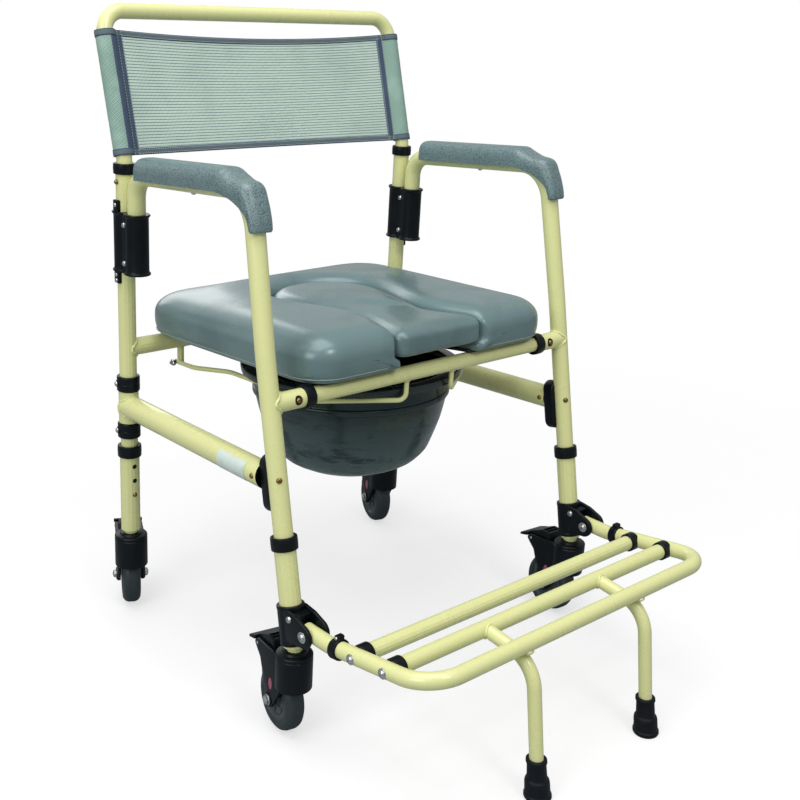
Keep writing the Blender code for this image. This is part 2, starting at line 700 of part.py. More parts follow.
def back_sling():
    panel = loft([sling_line(SLING_BOTTOM), sling_line(SLING_BOTTOM + SLING_HEIGHT)])
    cuts = []
    for _, side in SIDES:
        foot, bend, corner = hoop_side_path(side)
        cuts.append(sweep(round_path([foot, bend, corner], [BACK_BEND_RADIUS]), HOOP_R + GAP))
    combine(panel, cuts)
    finish(panel, "back_sling", "sling_mesh", (0, POST_Y, POST_TOP))


# Telescopic lower legs with the casters' stems
def lower_profile(mouth):
    bore = TUBE_R + SLIDE_GAP
    return [(0, LEG_FLOOR), (bore, LEG_FLOOR), (bore, mouth), (LOWER_R, mouth), (LOWER_R, 0), (0, 0)]


def stem(side_x, y):
    """Stem and nut under a leg, on the caster's upright axis."""
    nut_low = BARREL_TOP + GAP
    low = BARREL_TOP - STEM_DEPTH
    profile = [(0, low), (STEM_RADIUS, low), (STEM_RADIUS, nut_low), (NUT_RADIUS, nut_low),
               (NUT_RADIUS, CASTER_TOP + 0.004), (0, CASTER_TOP + 0.004)]
    return lathe(profile, upright(side_x, y), SMALL_ROUND, closed=False)


def lower_leg(name, frame, mouth, facing, x, y):
    leg = lathe(lower_profile(mouth), frame, closed=False)
    combine(leg, [stem(x, y)], "UNION", "MANIFOLD")
    holes = [leg_button_bar(frame, facing, HOLE_RADIUS, LOWER_TUBE_OD, row) for row in range(HOLE_COUNT)]
    combine(leg, holes, solver="MANIFOLD")
    return finish(leg, "lower_leg_" + name, "cream_steel", frame.translation)


def telescopic_legs():
    for name, side in SIDES:
        rear = rear_leg_frame(side)
        mouth = REAR_MOUTH_Z - CASTER_TOP
        lower_leg("rear_" + name, rear, mouth, -1, side * POST_X, POST_Y)
        mouth_collar("leg_collar_rear_" + name, rear @ upright(0, 0, mouth), LOWER_R, TUBE_R, COLLAR_OVER,
                     rear.translation)
        front = leaning(side)
        lower_leg("front_" + name, front, FRONT_MOUTH, 1, side * LEG_X, FOOT_Y)
        mouth_collar("leg_collar_front_" + name, front @ upright(0, 0, FRONT_MOUTH), LOWER_R, TUBE_R, COLLAR_OVER,
                     front.translation)


# Caster: swivel barrel with two cheeks, axle and pedal pin; the wheel trails behind the barrel
def cheek_outline():
    """Side of the housing in y and z: a wing up to the pedal's pin and a foot at the axle."""
    trail, axle_z = CASTER_TRAIL, WHEEL_RADIUS
    pin_y, pin_z = PEDAL_PIVOT
    boss = 0.010
    outline = [(0.0, BARREL_TOP - 0.0090), (BARREL_RADIUS - 0.003, BARREL_TOP - 0.0075),
               (pin_y + 0.002, pin_z + 0.0050), (pin_y + 0.0065, pin_z + 0.0020), (pin_y + 0.0075, pin_z - 0.0020),
               (pin_y + 0.0030, pin_z - 0.0065), (pin_y - 0.0070, pin_z - 0.0150), (trail + 0.0190, axle_z + 0.0310),
               (trail + 0.0165, axle_z + 0.0170)]
    outline += [(trail + boss * cos(radians(a)), axle_z + boss * sin(radians(a))) for a in range(18, -163, -36)]
    outline += [(0.007, axle_z + 0.013), (0.0, BARREL_BOTTOM - 0.0035), (0.0, BARREL_BOTTOM + 0.004)]
    return outline


def caster_fork_mesh():
    """The housing, in a frame on the floor at the swivel axis, trailing towards +Y."""
    groove = BARREL_TOP - 0.0070
    cap = STEM_RADIUS + 0.0085
    profile = [(0, BARREL_BOTTOM), (BARREL_RADIUS, BARREL_BOTTOM), (BARREL_RADIUS, groove - 0.0011),
               (BARREL_RADIUS - 0.0013, groove), (BARREL_RADIUS, groove + 0.0011),
               (BARREL_RADIUS, BARREL_TOP - 0.0030), (cap + 0.001, BARREL_TOP - 0.0020), (cap, BARREL_TOP),
               (0, BARREL_TOP)]
    fork = lathe(profile, closed=False)
    outline = cheek_outline()
    cheeks = [side_plate(outline, *sorted((side * FORK_INSIDE, side * (FORK_INSIDE + CHEEK_THICKNESS))))
              for _, side in SIDES]
    combine(fork, cheeks, "UNION")
    axle = Vector((0, CASTER_TRAIL, WHEEL_RADIUS))
    inside = Vector((FORK_INSIDE, 0, 0))
    room = rod(axle - inside, axle + inside, WHEEL_RADIUS + 0.003, 20)
    bore = rod((0, 0, BARREL_TOP - STEM_DEPTH - 0.001), (0, 0, BARREL_TOP + 0.01), STEM_RADIUS + GAP,
               SMALL_ROUND)
    combine(fork, [room, bore])
    reach = FORK_INSIDE + CHEEK_THICKNESS
    pins = [rod(axle - Vector((reach + AXLE_END, 0, 0)), axle + Vector((reach + AXLE_END, 0, 0)), AXLE_RADIUS, 10),
            rod((-reach + 0.001, *PEDAL_PIVOT), (reach - 0.001, *PEDAL_PIVOT), PEDAL_PIN_RADIUS, 8)]
    return combine(fork, pins, "UNION")


def wheel_mesh():
    """Tyre and hub, turned about X at its own centre."""
    half = WHEEL_WIDTH / 2
    bore = AXLE_RADIUS + SLIDE_GAP
    profile = [(bore, -half), (0.0105, 0.003 - half), (WHEEL_RADIUS - 0.014, 0.003 - half),
               (WHEEL_RADIUS - 0.0125, -half), (WHEEL_RADIUS - 0.006, -half), (WHEEL_RADIUS, 0.007 - half)]
    profile += [(radius, -height) for radius, height in reversed(profile)]
    return lathe(profile, Matrix.Rotation(pi / 2, 4, "Y"), sides=20)


def pedal_mesh():
    """Brake pedal in the fork's frame: the tread reaches forward over the tyre, the lip sticks out behind."""
    pin_y, pin_z = PEDAL_PIVOT
    half = FORK_INSIDE - 0.0005
    front = BARREL_RADIUS + 0.0012
    shoe = 2 * WHEEL_RADIUS + PEDAL_TRAVEL
    outline = [(front, pin_z + 0.0060), (front + 0.006, pin_z + 0.0165), (front + 0.020, pin_z + 0.0175),
               (pin_y + 0.003, pin_z + 0.0090), (pin_y + 0.010, pin_z + 0.0045), (pin_y + 0.006, pin_z - 0.0040),
               (pin_y - 0.004, pin_z - 0.0050), (pin_y - 0.016, pin_z - 0.0015), (front + 0.012, pin_z - 0.0040),
               (front + 0.010, shoe), (front + 0.001, shoe), (front, shoe + 0.005)]
    pedal = side_plate(outline, -half, half)
    lip = [(pin_y + 0.0075, pin_z + 0.0062), (PEDAL_REACH - 0.001, pin_z + 0.0010), (PEDAL_REACH, pin_z - 0.0030),
           (pin_y + 0.0080, pin_z + 0.0010)]
    combine(pedal, [side_plate(lip, -PEDAL_TIP_HALF, PEDAL_TIP_HALF)], "UNION")
    groove = [side_plate([(y, pin_z + 0.03), (y, pin_z + 0.0120), (y + 0.0030, pin_z + 0.0120), (y + 0.0030, pin_z + 0.03)],
                         0.004 - half, half - 0.004) for y in (front + 0.011, front + 0.018)]
    bore = rod((-half - 0.01, *PEDAL_PIVOT), (half + 0.01, *PEDAL_PIVOT), PEDAL_PIN_RADIUS + GAP, 8)
    return combine(pedal, groove + [bore])


def casters():
    fork, wheel, pedal = caster_fork_mesh(), wheel_mesh(), pedal_mesh()
    finish(fork, "fork", "black_plastic")
    finish(wheel, "wheel", "tyre_grey")
    finish(pedal, "pedal", "black_plastic", (0, *PEDAL_PIVOT))
    for end, y in (("front", FOOT_Y), ("rear", POST_Y)):
        for name, side in SIDES:
            key = end + "_" + name
            x = side * (LEG_X if end == "front" else POST_X)
            housing = bpy.data.objects.new("caster_fork_" + key, fork.data)
            housing.location = (x, y, 0)
            housing.rotation_euler = (0, 0, radians(SWIVEL_DEG[key]))
            bpy.context.scene.collection.objects.link(housing)
            for kind, mesh, place in (("caster_wheel_", wheel.data, (0, CASTER_TRAIL, WHEEL_RADIUS)),
                                      ("brake_pedal_", pedal.data, (0, *PEDAL_PIVOT))):
                piece = bpy.data.objects.new(kind + key, mesh)
                piece.parent = housing
                piece.location = place
                bpy.context.scene.collection.objects.link(piece)
    for pattern in (fork, wheel, pedal):
        bpy.data.objects.remove(pattern, do_unlink=True)


# Seat: a horseshoe cushion, and the plug that closes its opening
def plug_half_width(y):
    """Half width of the keyhole outline at a place along the seat."""
    if y >= PLUG_WIDEST_Y:
        share = min(1.0, (y - PLUG_WIDEST_Y) / (PLUG_REAR - PLUG_WIDEST_Y))
        return PLUG_HALF_WIDTH * sqrt(1 - share * share)
    if y >= NECK_Y:
        share = (PLUG_WIDEST_Y - y) / (PLUG_WIDEST_Y - NECK_Y)
        return NECK_HALF_WIDTH + (PLUG_HALF_WIDTH - NECK_HALF_WIDTH) * (1 + cos(pi * share)) / 2
    share = (NECK_Y - y) / (NECK_Y - SEAT_FRONT)
    return NECK_HALF_WIDTH + (TONGUE_HALF_WIDTH - NECK_HALF_WIDTH) * (1 - cos(pi * share)) / 2


def evenly(points, count):
    """Count + 1 points at even distances along a polyline."""
    lengths = [0.0]
    for before, after in zip(points, points[1:]):
        lengths.append(lengths[-1] + (after - before).length)
    out = []
    segment = 0
    for index in range(count + 1):
        want = lengths[-1] * index / count
        while segment < len(points) - 2 and lengths[segment + 1] < want:
            segment += 1
        share = (want - lengths[segment]) / (lengths[segment + 1] - lengths[segment])
        out.append(points[segment].lerp(points[segment + 1], share))
    return out


def opening_line(count):
    """The horseshoe's inner edge, from its left front corner round to its right one."""
    ys = [SEAT_FRONT + (PLUG_WIDEST_Y - SEAT_FRONT) * i / 24 for i in range(24)]
    side = [Vector((plug_half_width(y) + PLUG_GAP, y, 0)) for y in ys]
    depth = PLUG_REAR - PLUG_WIDEST_Y + PLUG_GAP
    round_end = [Vector(((PLUG_HALF_WIDTH + PLUG_GAP) * cos(pi * i / 24), PLUG_WIDEST_Y + depth * sin(pi * i / 24), 0))
                 for i in range(25)]
    left = [Vector((-point.x, point.y, 0)) for point in side]
    return evenly(left + round_end[::-1] + side[::-1], count)


def seat_outer_line(count):
    start = TONGUE_HALF_WIDTH + PLUG_GAP + 0.055
    corners = [(-start, SEAT_FRONT, 0), (-SEAT_HALF_WIDTH, SEAT_FRONT, 0), (-SEAT_HALF_WIDTH, SEAT_REAR, 0),
               (SEAT_HALF_WIDTH, SEAT_REAR, 0), (SEAT_HALF_WIDTH, SEAT_FRONT, 0), (start, SEAT_FRONT, 0)]
    radii = [SEAT_FRONT_CORNER, SEAT_REAR_CORNER, SEAT_REAR_CORNER, SEAT_FRONT_CORNER]
    return evenly(round_path(corners, radii), count)


def seat_profile(width):
    """Across the cushion from its opening to its outer edge: (distance, height share)."""
    ledge = (PLUG_BOTTOM - GAP) / SEAT_THICK
    inner = [(0.001 - LEDGE_WIDTH, 0.0), (-LEDGE_WIDTH, ledge), (0.0, ledge), (0.0, 0.62), (0.0045, 0.80), (0.015, 0.91)]
    outer = [(0.030, 0.96), (0.012, 0.86), (0.0035, 0.68), (0.0, 0.42), (0.0035, 0.16), (0.012, 0.07), (0.020, 0.0)]
    middle = [(width * 0.45, 1.0)]
    return inner + middle + [(width - distance, height) for distance, height in outer]


def seat_section(inner, outer, squeeze=1.0, forward=0.0):
    way = (outer - inner).normalized()
    section = []
    for distance, height in seat_profile((outer - inner).length):
        lift = SEAT_BASE + SEAT_THICK * (0.42 + (height - 0.42) * squeeze)
        section.append(SEAT_FRAME @ (inner + way * distance + Vector((0, forward, lift))))
    return section


def seat_cushion():
    count = 40
    inners, outers = opening_line(count), seat_outer_line(count)
    sections = [seat_section(inner, outer) for inner, outer in zip(inners, outers)]
    for end in (0, -1):
        sections[end] = seat_section(inners[end], outers[end], 1.0, 0.011)
    ends = [[seat_section(inners[end], outers[end], squeeze, forward)
             for squeeze, forward in ((0.62, 0.0), (0.90, 0.0035))] for end in (0, -1)]
    sections = ends[0] + sections + ends[1][::-1]
    finish(loft(sections), "seat_cushion", "seat_foam", (0, POST_Y, REAR_BAR_Z))


def plug_section(y, squeeze=1.0):
    half = max(plug_half_width(y), 0.004)
    top = SEAT_THICK - 0.003
    shape = [(1.0, 0.008, 0.0), (1.0, 0.0, 0.18), (1.0, 0.0, 0.55), (1.0, 0.006, 0.80), (0.55, 0.0, 0.96)]
    right = [(max(half * share - inset, half * 0.3), height) for share, inset, height in shape]
    across_points = right + [(0.0, 1.0)] + [(-x, height) for x, height in reversed(right)]
    low, high = PLUG_BOTTOM, top
    return [SEAT_FRAME @ Vector((x, y, SEAT_BASE + low + (high - low) * (0.45 + (height - 0.45) * squeeze)))
            for x, height in across_points]


def seat_plug():
    rear_steps = [PLUG_WIDEST_Y + (PLUG_REAR - PLUG_WIDEST_Y) * sin(pi / 2 * i / 6) for i in range(7)]
    rear_steps[-1] -= 0.0004
    front_steps = [SEAT_FRONT + 0.012 + (PLUG_WIDEST_Y - SEAT_FRONT - 0.012) * i / 12 for i in range(12)]
    sections = [plug_section(SEAT_FRONT - 0.0005, 0.45), plug_section(SEAT_FRONT + 0.003, 0.85)]
    sections += [plug_section(y) for y in front_steps + rear_steps[:-2]]
    sections += [plug_section(rear_steps[-2], 0.92), plug_section(rear_steps[-1], 0.5)]
    finish(loft(sections), "seat_plug", "seat_foam", SEAT_FRAME @ Vector((0, PLUG_WIDEST_Y, SEAT_BASE)))


# Commode pan on two wire rails
def rod_height(y):
    """Height of the rails' axis at a depth, falling gently to the rear."""
    front = FRONT_BAR_Z - PAN_ROD_FRONT_DROP
    rear = REAR_BAR_Z - PAN_ROD_REAR_DROP
    return rear + (front - rear) * (POST_Y - y) / BAR_RUN


def pan_rail(name, side):
    eye_x = HANGER_X + HANGER_THICK / 2 + GAP + ROD_R
    plan = [(eye_x, POST_Y + 0.004), (eye_x, POST_Y - 0.040), (PAN_ROD_X, POST_Y - 0.085),
            (PAN_ROD_X, FRONT_BAR_Y + 0.067), (PAN_ROD_FRONT_X, FRONT_BAR_Y)]
    corners = [Vector((side * x, y, rod_height(y))) for x, y in plan]
    corners.append(Vector((side * PAN_ROD_FRONT_X, FRONT_BAR_Y, FRONT_BAR_Z - BAR_R - GAP)))
    path = round_path(corners, [0.030, 0.030, 0.030, 0.010], radians(22.5))
    finish(sweep(path, ROD_R, 8), "pan_rail_" + name, "cream_steel")


def pan_frame():
    y = POST_Y + PAN_Y
    slope = atan2(rod_height(FRONT_BAR_Y) - rod_height(POST_Y), BAR_RUN)
    seat_z = rod_height(y) + ROD_R / cos(slope) + GAP
    return Matrix.Translation((0, y, seat_z)) @ Matrix.Rotation(-slope, 4, "X")


def commode_pan():
    wall, skin = PAN_WALL_RADIUS, PAN_THICK
    rim, top = PAN_RIM_RADIUS, PAN_RIM_HEIGHT
    low = -PAN_DEPTH
    inside = [(0.0, skin + low), (wall - 0.0655, low + 0.0100), (wall - 0.0390, low + 0.0215),
              (wall - 0.0246, low + 0.0350), (wall - 0.0140, low + 0.0600),
              (wall - 0.0085, low + 0.0770), (wall - skin, -0.0315), (wall - skin + 0.0005, top - 0.002),
              (wall + 0.0035, top)]
    outside = [(rim - 0.002, top), (rim, top - 0.003), (rim - 0.001, 0.0), (wall + 0.0005, 0.0),
               (wall + 0.0005, -0.0205), (wall + 0.0030, -0.0215), (wall + 0.0030, -0.0275), (wall, -0.0290),
               (wall - 0.0040, low + 0.0900), (wall - 0.0075, low + 0.0765), (wall - 0.0135, low + 0.0595),
               (wall - 0.0235, low + 0.0345), (wall - 0.0375, low + 0.0200),
               (wall - 0.0655, low + 0.0060), (0.0, low)]
    pan = lathe(inside + outside, pan_frame(), sides=24, closed=False)
    finish(pan, "commode_pan", "pan_plastic", pan_frame().translation)


# Footrest: bracket, bent frame, slats and the two support legs
def ear_outline(side):
    """Cheek of the bracket, in world y and z."""
    leg_y = PIVOT_Y + PIVOT_FORWARD
    top_y = leg_y + tan(LEG_LEAN) * (SOCKET_TOP - PIVOT_Z)
    low_y = leg_y - tan(LEG_LEAN) * (PIVOT_Z - SOCKET_BOTTOM)
    outline = [(top_y + 0.004, SOCKET_TOP - 0.001), (top_y - 0.012, SOCKET_TOP)]
    outline.append((PIVOT_Y + 0.012, PIVOT_Z + 0.0185))
    outline += [(PIVOT_Y - EAR_RADIUS * cos(radians(a)), PIVOT_Z + EAR_RADIUS * sin(radians(a)))
                for a in range(75, -91, -30)]
    outline += [(low_y - 0.006, SOCKET_BOTTOM + 0.0015), (low_y + 0.004, SOCKET_BOTTOM + 0.0015)]
    return outline


def footrest_bracket(name, side):
    frame = leaning(side)
    low = (SOCKET_BOTTOM - CASTER_TOP) / cos(LEG_LEAN)
    high = (SOCKET_TOP - CASTER_TOP) / cos(LEG_LEAN)
    outer, bore = LOWER_R + SOCKET_WALL, LOWER_R + GAP
    x = side * LEG_X
    outline = ear_outline(side)
    ears = [side_plate(outline, x + low_x, x + high_x)
            for low_x, high_x in ((EAR_INSIDE, EAR_INSIDE + EAR_THICK), (-EAR_INSIDE - EAR_THICK, -EAR_INSIDE))]
    web = box((x - EAR_INSIDE - 0.001, PIVOT_Y + 0.0145, PIVOT_Z + 0.006),
              (x + EAR_INSIDE + 0.001, PIVOT_Y + PIVOT_FORWARD, SOCKET_TOP - 0.004))
    cheeks = combine(ears[0], [ears[1], web], "UNION")
    room = rod(frame @ Vector((0, 0, low - 0.02)), frame @ Vector((0, 0, high + 0.02)), (outer + bore) / 2)
    combine(cheeks, [room])
    bracket = lathe([(bore, low), (outer, low), (outer, high - 0.001), (outer - 0.001, high), (bore, high)], frame)
    reach = EAR_INSIDE + EAR_THICK - 0.001
    pin = rod((x - reach, PIVOT_Y, PIVOT_Z), (x + reach, PIVOT_Y, PIVOT_Z), PIVOT_PIN_RADIUS, SMALL_ROUND)
    combine(bracket, [cheeks, pin], "UNION")
    finish(bracket, "footrest_bracket_" + name, "black_plastic", (x, PIVOT_Y, PIVOT_Z))


def foot_pivot():
    return (0, PIVOT_Y, PIVOT_Z)


def footrest_frame():
    def at(side, reach):
        return Vector((side * LEG_X, PIVOT_Y - reach, foot_rise_height(reach)))
    corners = [at(-1, -0.009), at(-1, FOOT_FLAT), at(-1, FOOT_REACH), at(1, FOOT_REACH), at(1, FOOT_FLAT),
               at(1, -0.009)]
    path = round_path(corners, [0.060, FOOT_CORNER, FOOT_CORNER, 0.060])
    frame = sweep(path, FOOT_R, SMALL_ROUND)
    holes = [rod((side * LEG_X - 0.015, PIVOT_Y, PIVOT_Z), (side * LEG_X + 0.015, PIVOT_Y, PIVOT_Z),
                 PIVOT_PIN_RADIUS + GAP, SMALL_ROUND) for _, side in SIDES]
    combine(frame, holes)
    finish(frame, "footrest_frame", "cream_steel", foot_pivot())


def slat_bar(reach):
    half = LEG_X - FOOT_R - GAP
    centre = (PIVOT_Y - reach, foot_rise_height(reach))
    return rod((-half, *centre), (half, *centre), FOOT_R)


def footrest_slat():
    finish(slat_bar(SLAT_REACH[0]), "footrest_slat", "cream_steel", foot_pivot())


def support_corners(side):
    """A tie from the front slat, under the front bar, bent down to the floor."""
    x = side * SUPPORT_X
    slat = Vector((x, PIVOT_Y - SLAT_REACH[1], foot_rise_height(SLAT_REACH[1])))
    under = Vector((x, PIVOT_Y - FOOT_REACH - SUPPORT_AHEAD, SUPPORT_TOP_Z))
    foot_y = under.y - SUPPORT_TOP_Z * tan(SUPPORT_LEAN)
    end_z = 0.012
    end = Vector((x, under.y - (SUPPORT_TOP_Z - end_z) * tan(SUPPORT_LEAN), end_z))
    return slat, under, end, foot_y


def footrest_ladder():
    ladder = slat_bar(SLAT_REACH[1])
    tubes = []
    for _, side in SIDES:
        slat, under, end, _ = support_corners(side)
        tubes.append(sweep(round_path([slat, under, end], [SUPPORT_BEND]), SUPPORT_R, SMALL_ROUND))
    combine(ladder, tubes, "UNION")
    finish(ladder, "footrest_ladder", "cream_steel", foot_pivot())


def foot_tip(name, side):
    """Stepped rubber tip, leaning with its leg and flat on the floor."""
    _, _, end, foot_y = support_corners(side)
    bore = (SUPPORT_R + GAP) / cos(SUPPORT_LEAN)
    neck = SUPPORT_R + 0.0034
    profile = [(0, 0), (TIP_RADIUS - 0.0012, 0), (TIP_RADIUS, 0.0025), (TIP_RADIUS - 0.0006, 0.019),
               (neck + 0.0014, 0.022), (neck - 0.0004, TIP_HEIGHT - 0.001), (neck - 0.0012, TIP_HEIGHT),
               (bore, TIP_HEIGHT), (bore, end.z - 0.004), (0, end.z - 0.004)]
    shear = Matrix.Identity(4)
    shear[1][2] = tan(SUPPORT_LEAN)
    frame = Matrix.Translation((side * SUPPORT_X, foot_y, 0)) @ shear
    finish(lathe(profile, frame, ROUND, closed=False), "foot_tip_" + name, "rubber", foot_pivot())


# The whole chair
def build():
    clear_scene()
    rear_frame()
    front_crossbar()
    back_hoop()
    back_sling()
    seat_cushion()
    seat_plug()
    commode_pan()
    footrest_frame()
    footrest_slat()
    footrest_ladder()
    telescopic_legs()
    casters()
    sleeve_top = SLEEVE_BOTTOM + SLEEVE_HEIGHT
    for name, side in SIDES:
        front_leg(name, side)
        side_rail(name, side)
        rail_saddle(name, side)
        pivot_collar("pivot_collar_upper_" + name, side, sleeve_top + GAP)
        pivot_collar("pivot_collar_lower_" + name, side, SLEEVE_BOTTOM - GAP - PIVOT_COLLAR_HEIGHT)
        mouth_collar("back_collar_" + name, upright(side * POST_X, POST_Y, POST_TOP), TUBE_R, HOOP_R,
                     SHORT_COLLAR_OVER)
        mouth = across(side * (LEG_X - STUB_LENGTH), FRONT_BAR_Y, FRONT_BAR_Z, side)
        mouth_collar("crossbar_collar_" + name, mouth, TUBE_R, BAR_R, SHORT_COLLAR_OVER)
        arm_bracket(name, side)
        armrest_pad(name, side)
        pan_rail(name, side)
        footrest_bracket(name, side)
        foot_tip(name, side)


build()
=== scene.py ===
# Looks of a wheeled commode chair: bent tubes, collars, casters, padded seat and arms, slung back.
# Metres, +Z up, the sitter faces -Y and left is -X. A piece's dictionary stands above the functions that shape it.
import json
from math import asin, acos, atan2, ceil, copysign, cos, hypot, pi, radians, sin, sqrt, tan
import bpy
import bmesh
from mathutils import Matrix, Vector, noise


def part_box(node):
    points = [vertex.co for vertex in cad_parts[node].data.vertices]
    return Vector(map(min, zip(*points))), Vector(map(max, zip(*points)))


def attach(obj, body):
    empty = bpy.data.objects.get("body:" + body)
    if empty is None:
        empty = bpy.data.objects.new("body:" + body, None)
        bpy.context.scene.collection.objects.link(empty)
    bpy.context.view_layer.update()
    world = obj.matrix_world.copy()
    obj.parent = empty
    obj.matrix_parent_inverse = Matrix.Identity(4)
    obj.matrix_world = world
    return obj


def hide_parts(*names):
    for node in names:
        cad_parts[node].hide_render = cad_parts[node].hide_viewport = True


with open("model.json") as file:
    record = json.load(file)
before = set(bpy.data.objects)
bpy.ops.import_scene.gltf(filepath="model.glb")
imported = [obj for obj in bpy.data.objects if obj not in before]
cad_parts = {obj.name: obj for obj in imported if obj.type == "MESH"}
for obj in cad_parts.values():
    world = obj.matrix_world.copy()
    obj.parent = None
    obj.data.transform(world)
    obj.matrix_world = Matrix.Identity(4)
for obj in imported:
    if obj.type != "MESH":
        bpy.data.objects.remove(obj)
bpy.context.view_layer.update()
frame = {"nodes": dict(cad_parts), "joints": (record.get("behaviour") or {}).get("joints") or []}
print("frame loaded")

# Places read from the frame
sides = {"left": -1, "right": 1}
corners = ("front_left", "front_right", "rear_left", "rear_right")
joints = {joint["name"]: Vector(joint["pos_m"]) for joint in frame["joints"] if "pos_m" in joint}
postX, postY = joints["caster_swivel_rear_right"].xy
legX, footY = joints["caster_swivel_front_right"].xy
rearBarZ = joints["seat_lift"].z
pivotY, pivotZ = joints["footrest_fold"].yz
barLow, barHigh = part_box("front_crossbar")
frontBarY, frontBarZ = (barLow.y + barHigh.y) / 2, (barLow.z + barHigh.z) / 2
barRun = postY - frontBarY
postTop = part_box("rear_frame")[1].z
tube = {"post": 0.0111, "lower": 0.0127, "thin": 0.009525, "support": 0.008, "rod": 0.003, "rail": 0.015,
        "gap": 0.0003, "casterTop": 0.1205, "lean": radians(11.5)}


def move(x, y, z=0.0):
    return Matrix.Translation((x, y, z))


def leaning(side):  # Z runs up a front leg from its caster
    return move(side * legX, footY, tube["casterTop"]) @ Matrix.Rotation(-tube["lean"], 4, "X")


def legOffset(z):  # how far the leaning front leg is behind its caster at a height
    return tan(tube["lean"]) * (z - tube["casterTop"])


def inward(x, y, z, side):  # Z runs along X to the middle of the chair
    return move(x, y, z) @ Matrix.Rotation(-side * pi / 2, 4, "Y")


def facing(place, way, spin=0.0):  # Z runs along a direction
    turn = Vector(way).to_track_quat("Z", "Y").to_matrix().to_4x4()
    return Matrix.Translation(place) @ turn @ Matrix.Rotation(spin, 4, "Z")


def between(value, low=0.0, high=1.0):
    return min(max(value, low), high)


def arc(radius, start, end, steps):  # (x, y) pairs from one angle to another
    return [(radius * cos(turn), radius * sin(turn)) for turn in
            (start + (end - start) * i / steps for i in range(steps + 1))]


def squared(value, power):  # flattens a wave's rounds and keeps its sign
    return copysign(abs(value) ** power, value)


def linked(name, data):
    item = bpy.data.objects.new(name, data)
    bpy.context.scene.collection.objects.link(item)
    return item


# Shader helpers
def srgb(*colour):
    values = [value / 255 for value in colour]
    return tuple(v / 12.92 if v <= 0.04045 else ((v + 0.055) / 1.055) ** 2.4 for v in values) + (1.0,)


def put(tree, item, values):  # sets a node's inputs, or links them to other nodes
    for key, value in values.items():
        if isinstance(value, bpy.types.NodeSocket):
            tree.links.new(value, item.inputs[key])
        else:
            item.inputs[key].default_value = value
    return item


def addNode(tree, kind, values, **settings):
    item = tree.nodes.new("ShaderNode" + kind)
    for key, value in settings.items():
        setattr(item, key, value)
    return put(tree, item, values)


def maths(tree, operation, *values, clamp=False):
    return addNode(tree, "Math", dict(enumerate(values)), operation=operation, use_clamp=clamp).outputs[0]


def stretch(tree, value, low, high, toLow=0.0, toHigh=1.0):
    return addNode(tree, "MapRange", {"Value": value, "From Min": low, "From Max": high, "To Min": toLow,
                                      "To Max": toHigh}).outputs["Result"]


def axisOf(tree, vector, axis):
    return addNode(tree, "SeparateXYZ", {0: vector}).outputs[axis]


def noiseNode(tree, place, **values):
    return addNode(tree, "TexNoise", {"Vector": place, **values}).outputs["Fac"]


def tint(tree, mask, first, second):  # mixes two colours, or a colour and a node's colour
    return addNode(tree, "Mix", {0: mask, 6: first, 7: second}, data_type="RGBA").outputs[2]


def bump(tree, height, strength, distance=0.0003):
    return addNode(tree, "Bump", {"Height": height, "Strength": strength, "Distance": distance}).outputs["Normal"]


def newGroup(name, *outputs):  # takes a place and one size
    tree = bpy.data.node_groups.new(name, "ShaderNodeTree")
    sockets = [("Vector", "INPUT", "Vector"), ("Size", "INPUT", "Float")]
    for label, way, kind in sockets + [(output, "OUTPUT", "Float") for output in outputs]:
        tree.interface.new_socket(name=label, in_out=way, socket_type="NodeSocket" + kind)
    start = tree.nodes.new("NodeGroupInput")
    return tree, start.outputs[0], start.outputs[1], tree.nodes.new("NodeGroupOutput")


def powderGroup():  # fine orange peel of a baked coat, and a slow drift in tone
    tree, place, size, end = newGroup("powderCoat", "Height", "Tone")
    slow = noiseNode(tree, place, Scale=14.0, Detail=3.0)
    put(tree, end, {"Height": noiseNode(tree, place, Scale=size, Detail=2.0, Roughness=0.6),
                    "Tone": stretch(tree, slow, 0.35, 0.68)})
    return tree


def lowPatchGroup():  # patches that gather towards the floor, up to a height
    tree, place, size, end = newGroup("lowPatches", "Mask")
    low = maths(tree, "SUBTRACT", 1.0, maths(tree, "DIVIDE", axisOf(tree, place, "Z"), size), clamp=True)
    patch = stretch(tree, noiseNode(tree, place, Scale=520.0, Detail=3.0, Roughness=0.6), 0.42, 0.72)
    put(tree, end, {"Mask": maths(tree, "MULTIPLY", low, patch, clamp=True)})
    return tree


def pebbleGroup():  # rounded grain cells of a moulded or leather-like skin
    tree, place, size, end = newGroup("pebbleGrain", "Height")
    warp = addNode(tree, "TexNoise", {"Vector": place, "Scale": 90.0, "Detail": 2.0}).outputs["Color"]
    shifted = addNode(tree, "VectorMath", {0: warp, 1: (0.0012, 0.0012, 0.0012), 2: place}, operation="MULTIPLY_ADD")
    cells = addNode(tree, "TexVoronoi", {"Vector": shifted.outputs[0], "Scale": size}, feature="SMOOTH_F1")
    put(tree, cells, {"Smoothness": 0.35})
    put(tree, end, {"Height": stretch(tree, cells.outputs["Distance"], 0.75, 0.05)})
    return tree


def smudgeGroup():  # hand marks and rub patches
    tree, place, size, end = newGroup("smudge", "Mask")
    broad = noiseNode(tree, place, Scale=size, Detail=5.0, Roughness=0.55, Distortion=0.6)
    put(tree, end, {"Mask": stretch(tree, broad, 0.46, 0.66)})
    return tree


groups = {"powder": powderGroup(), "lowPatch": lowPatchGroup(), "pebble": pebbleGroup(), "smudge": smudgeGroup()}


def pattern(tree, name, place, size, output=0):
    return addNode(tree, "Group", {"Vector": place, "Size": size}, node_tree=groups[name]).outputs[output]


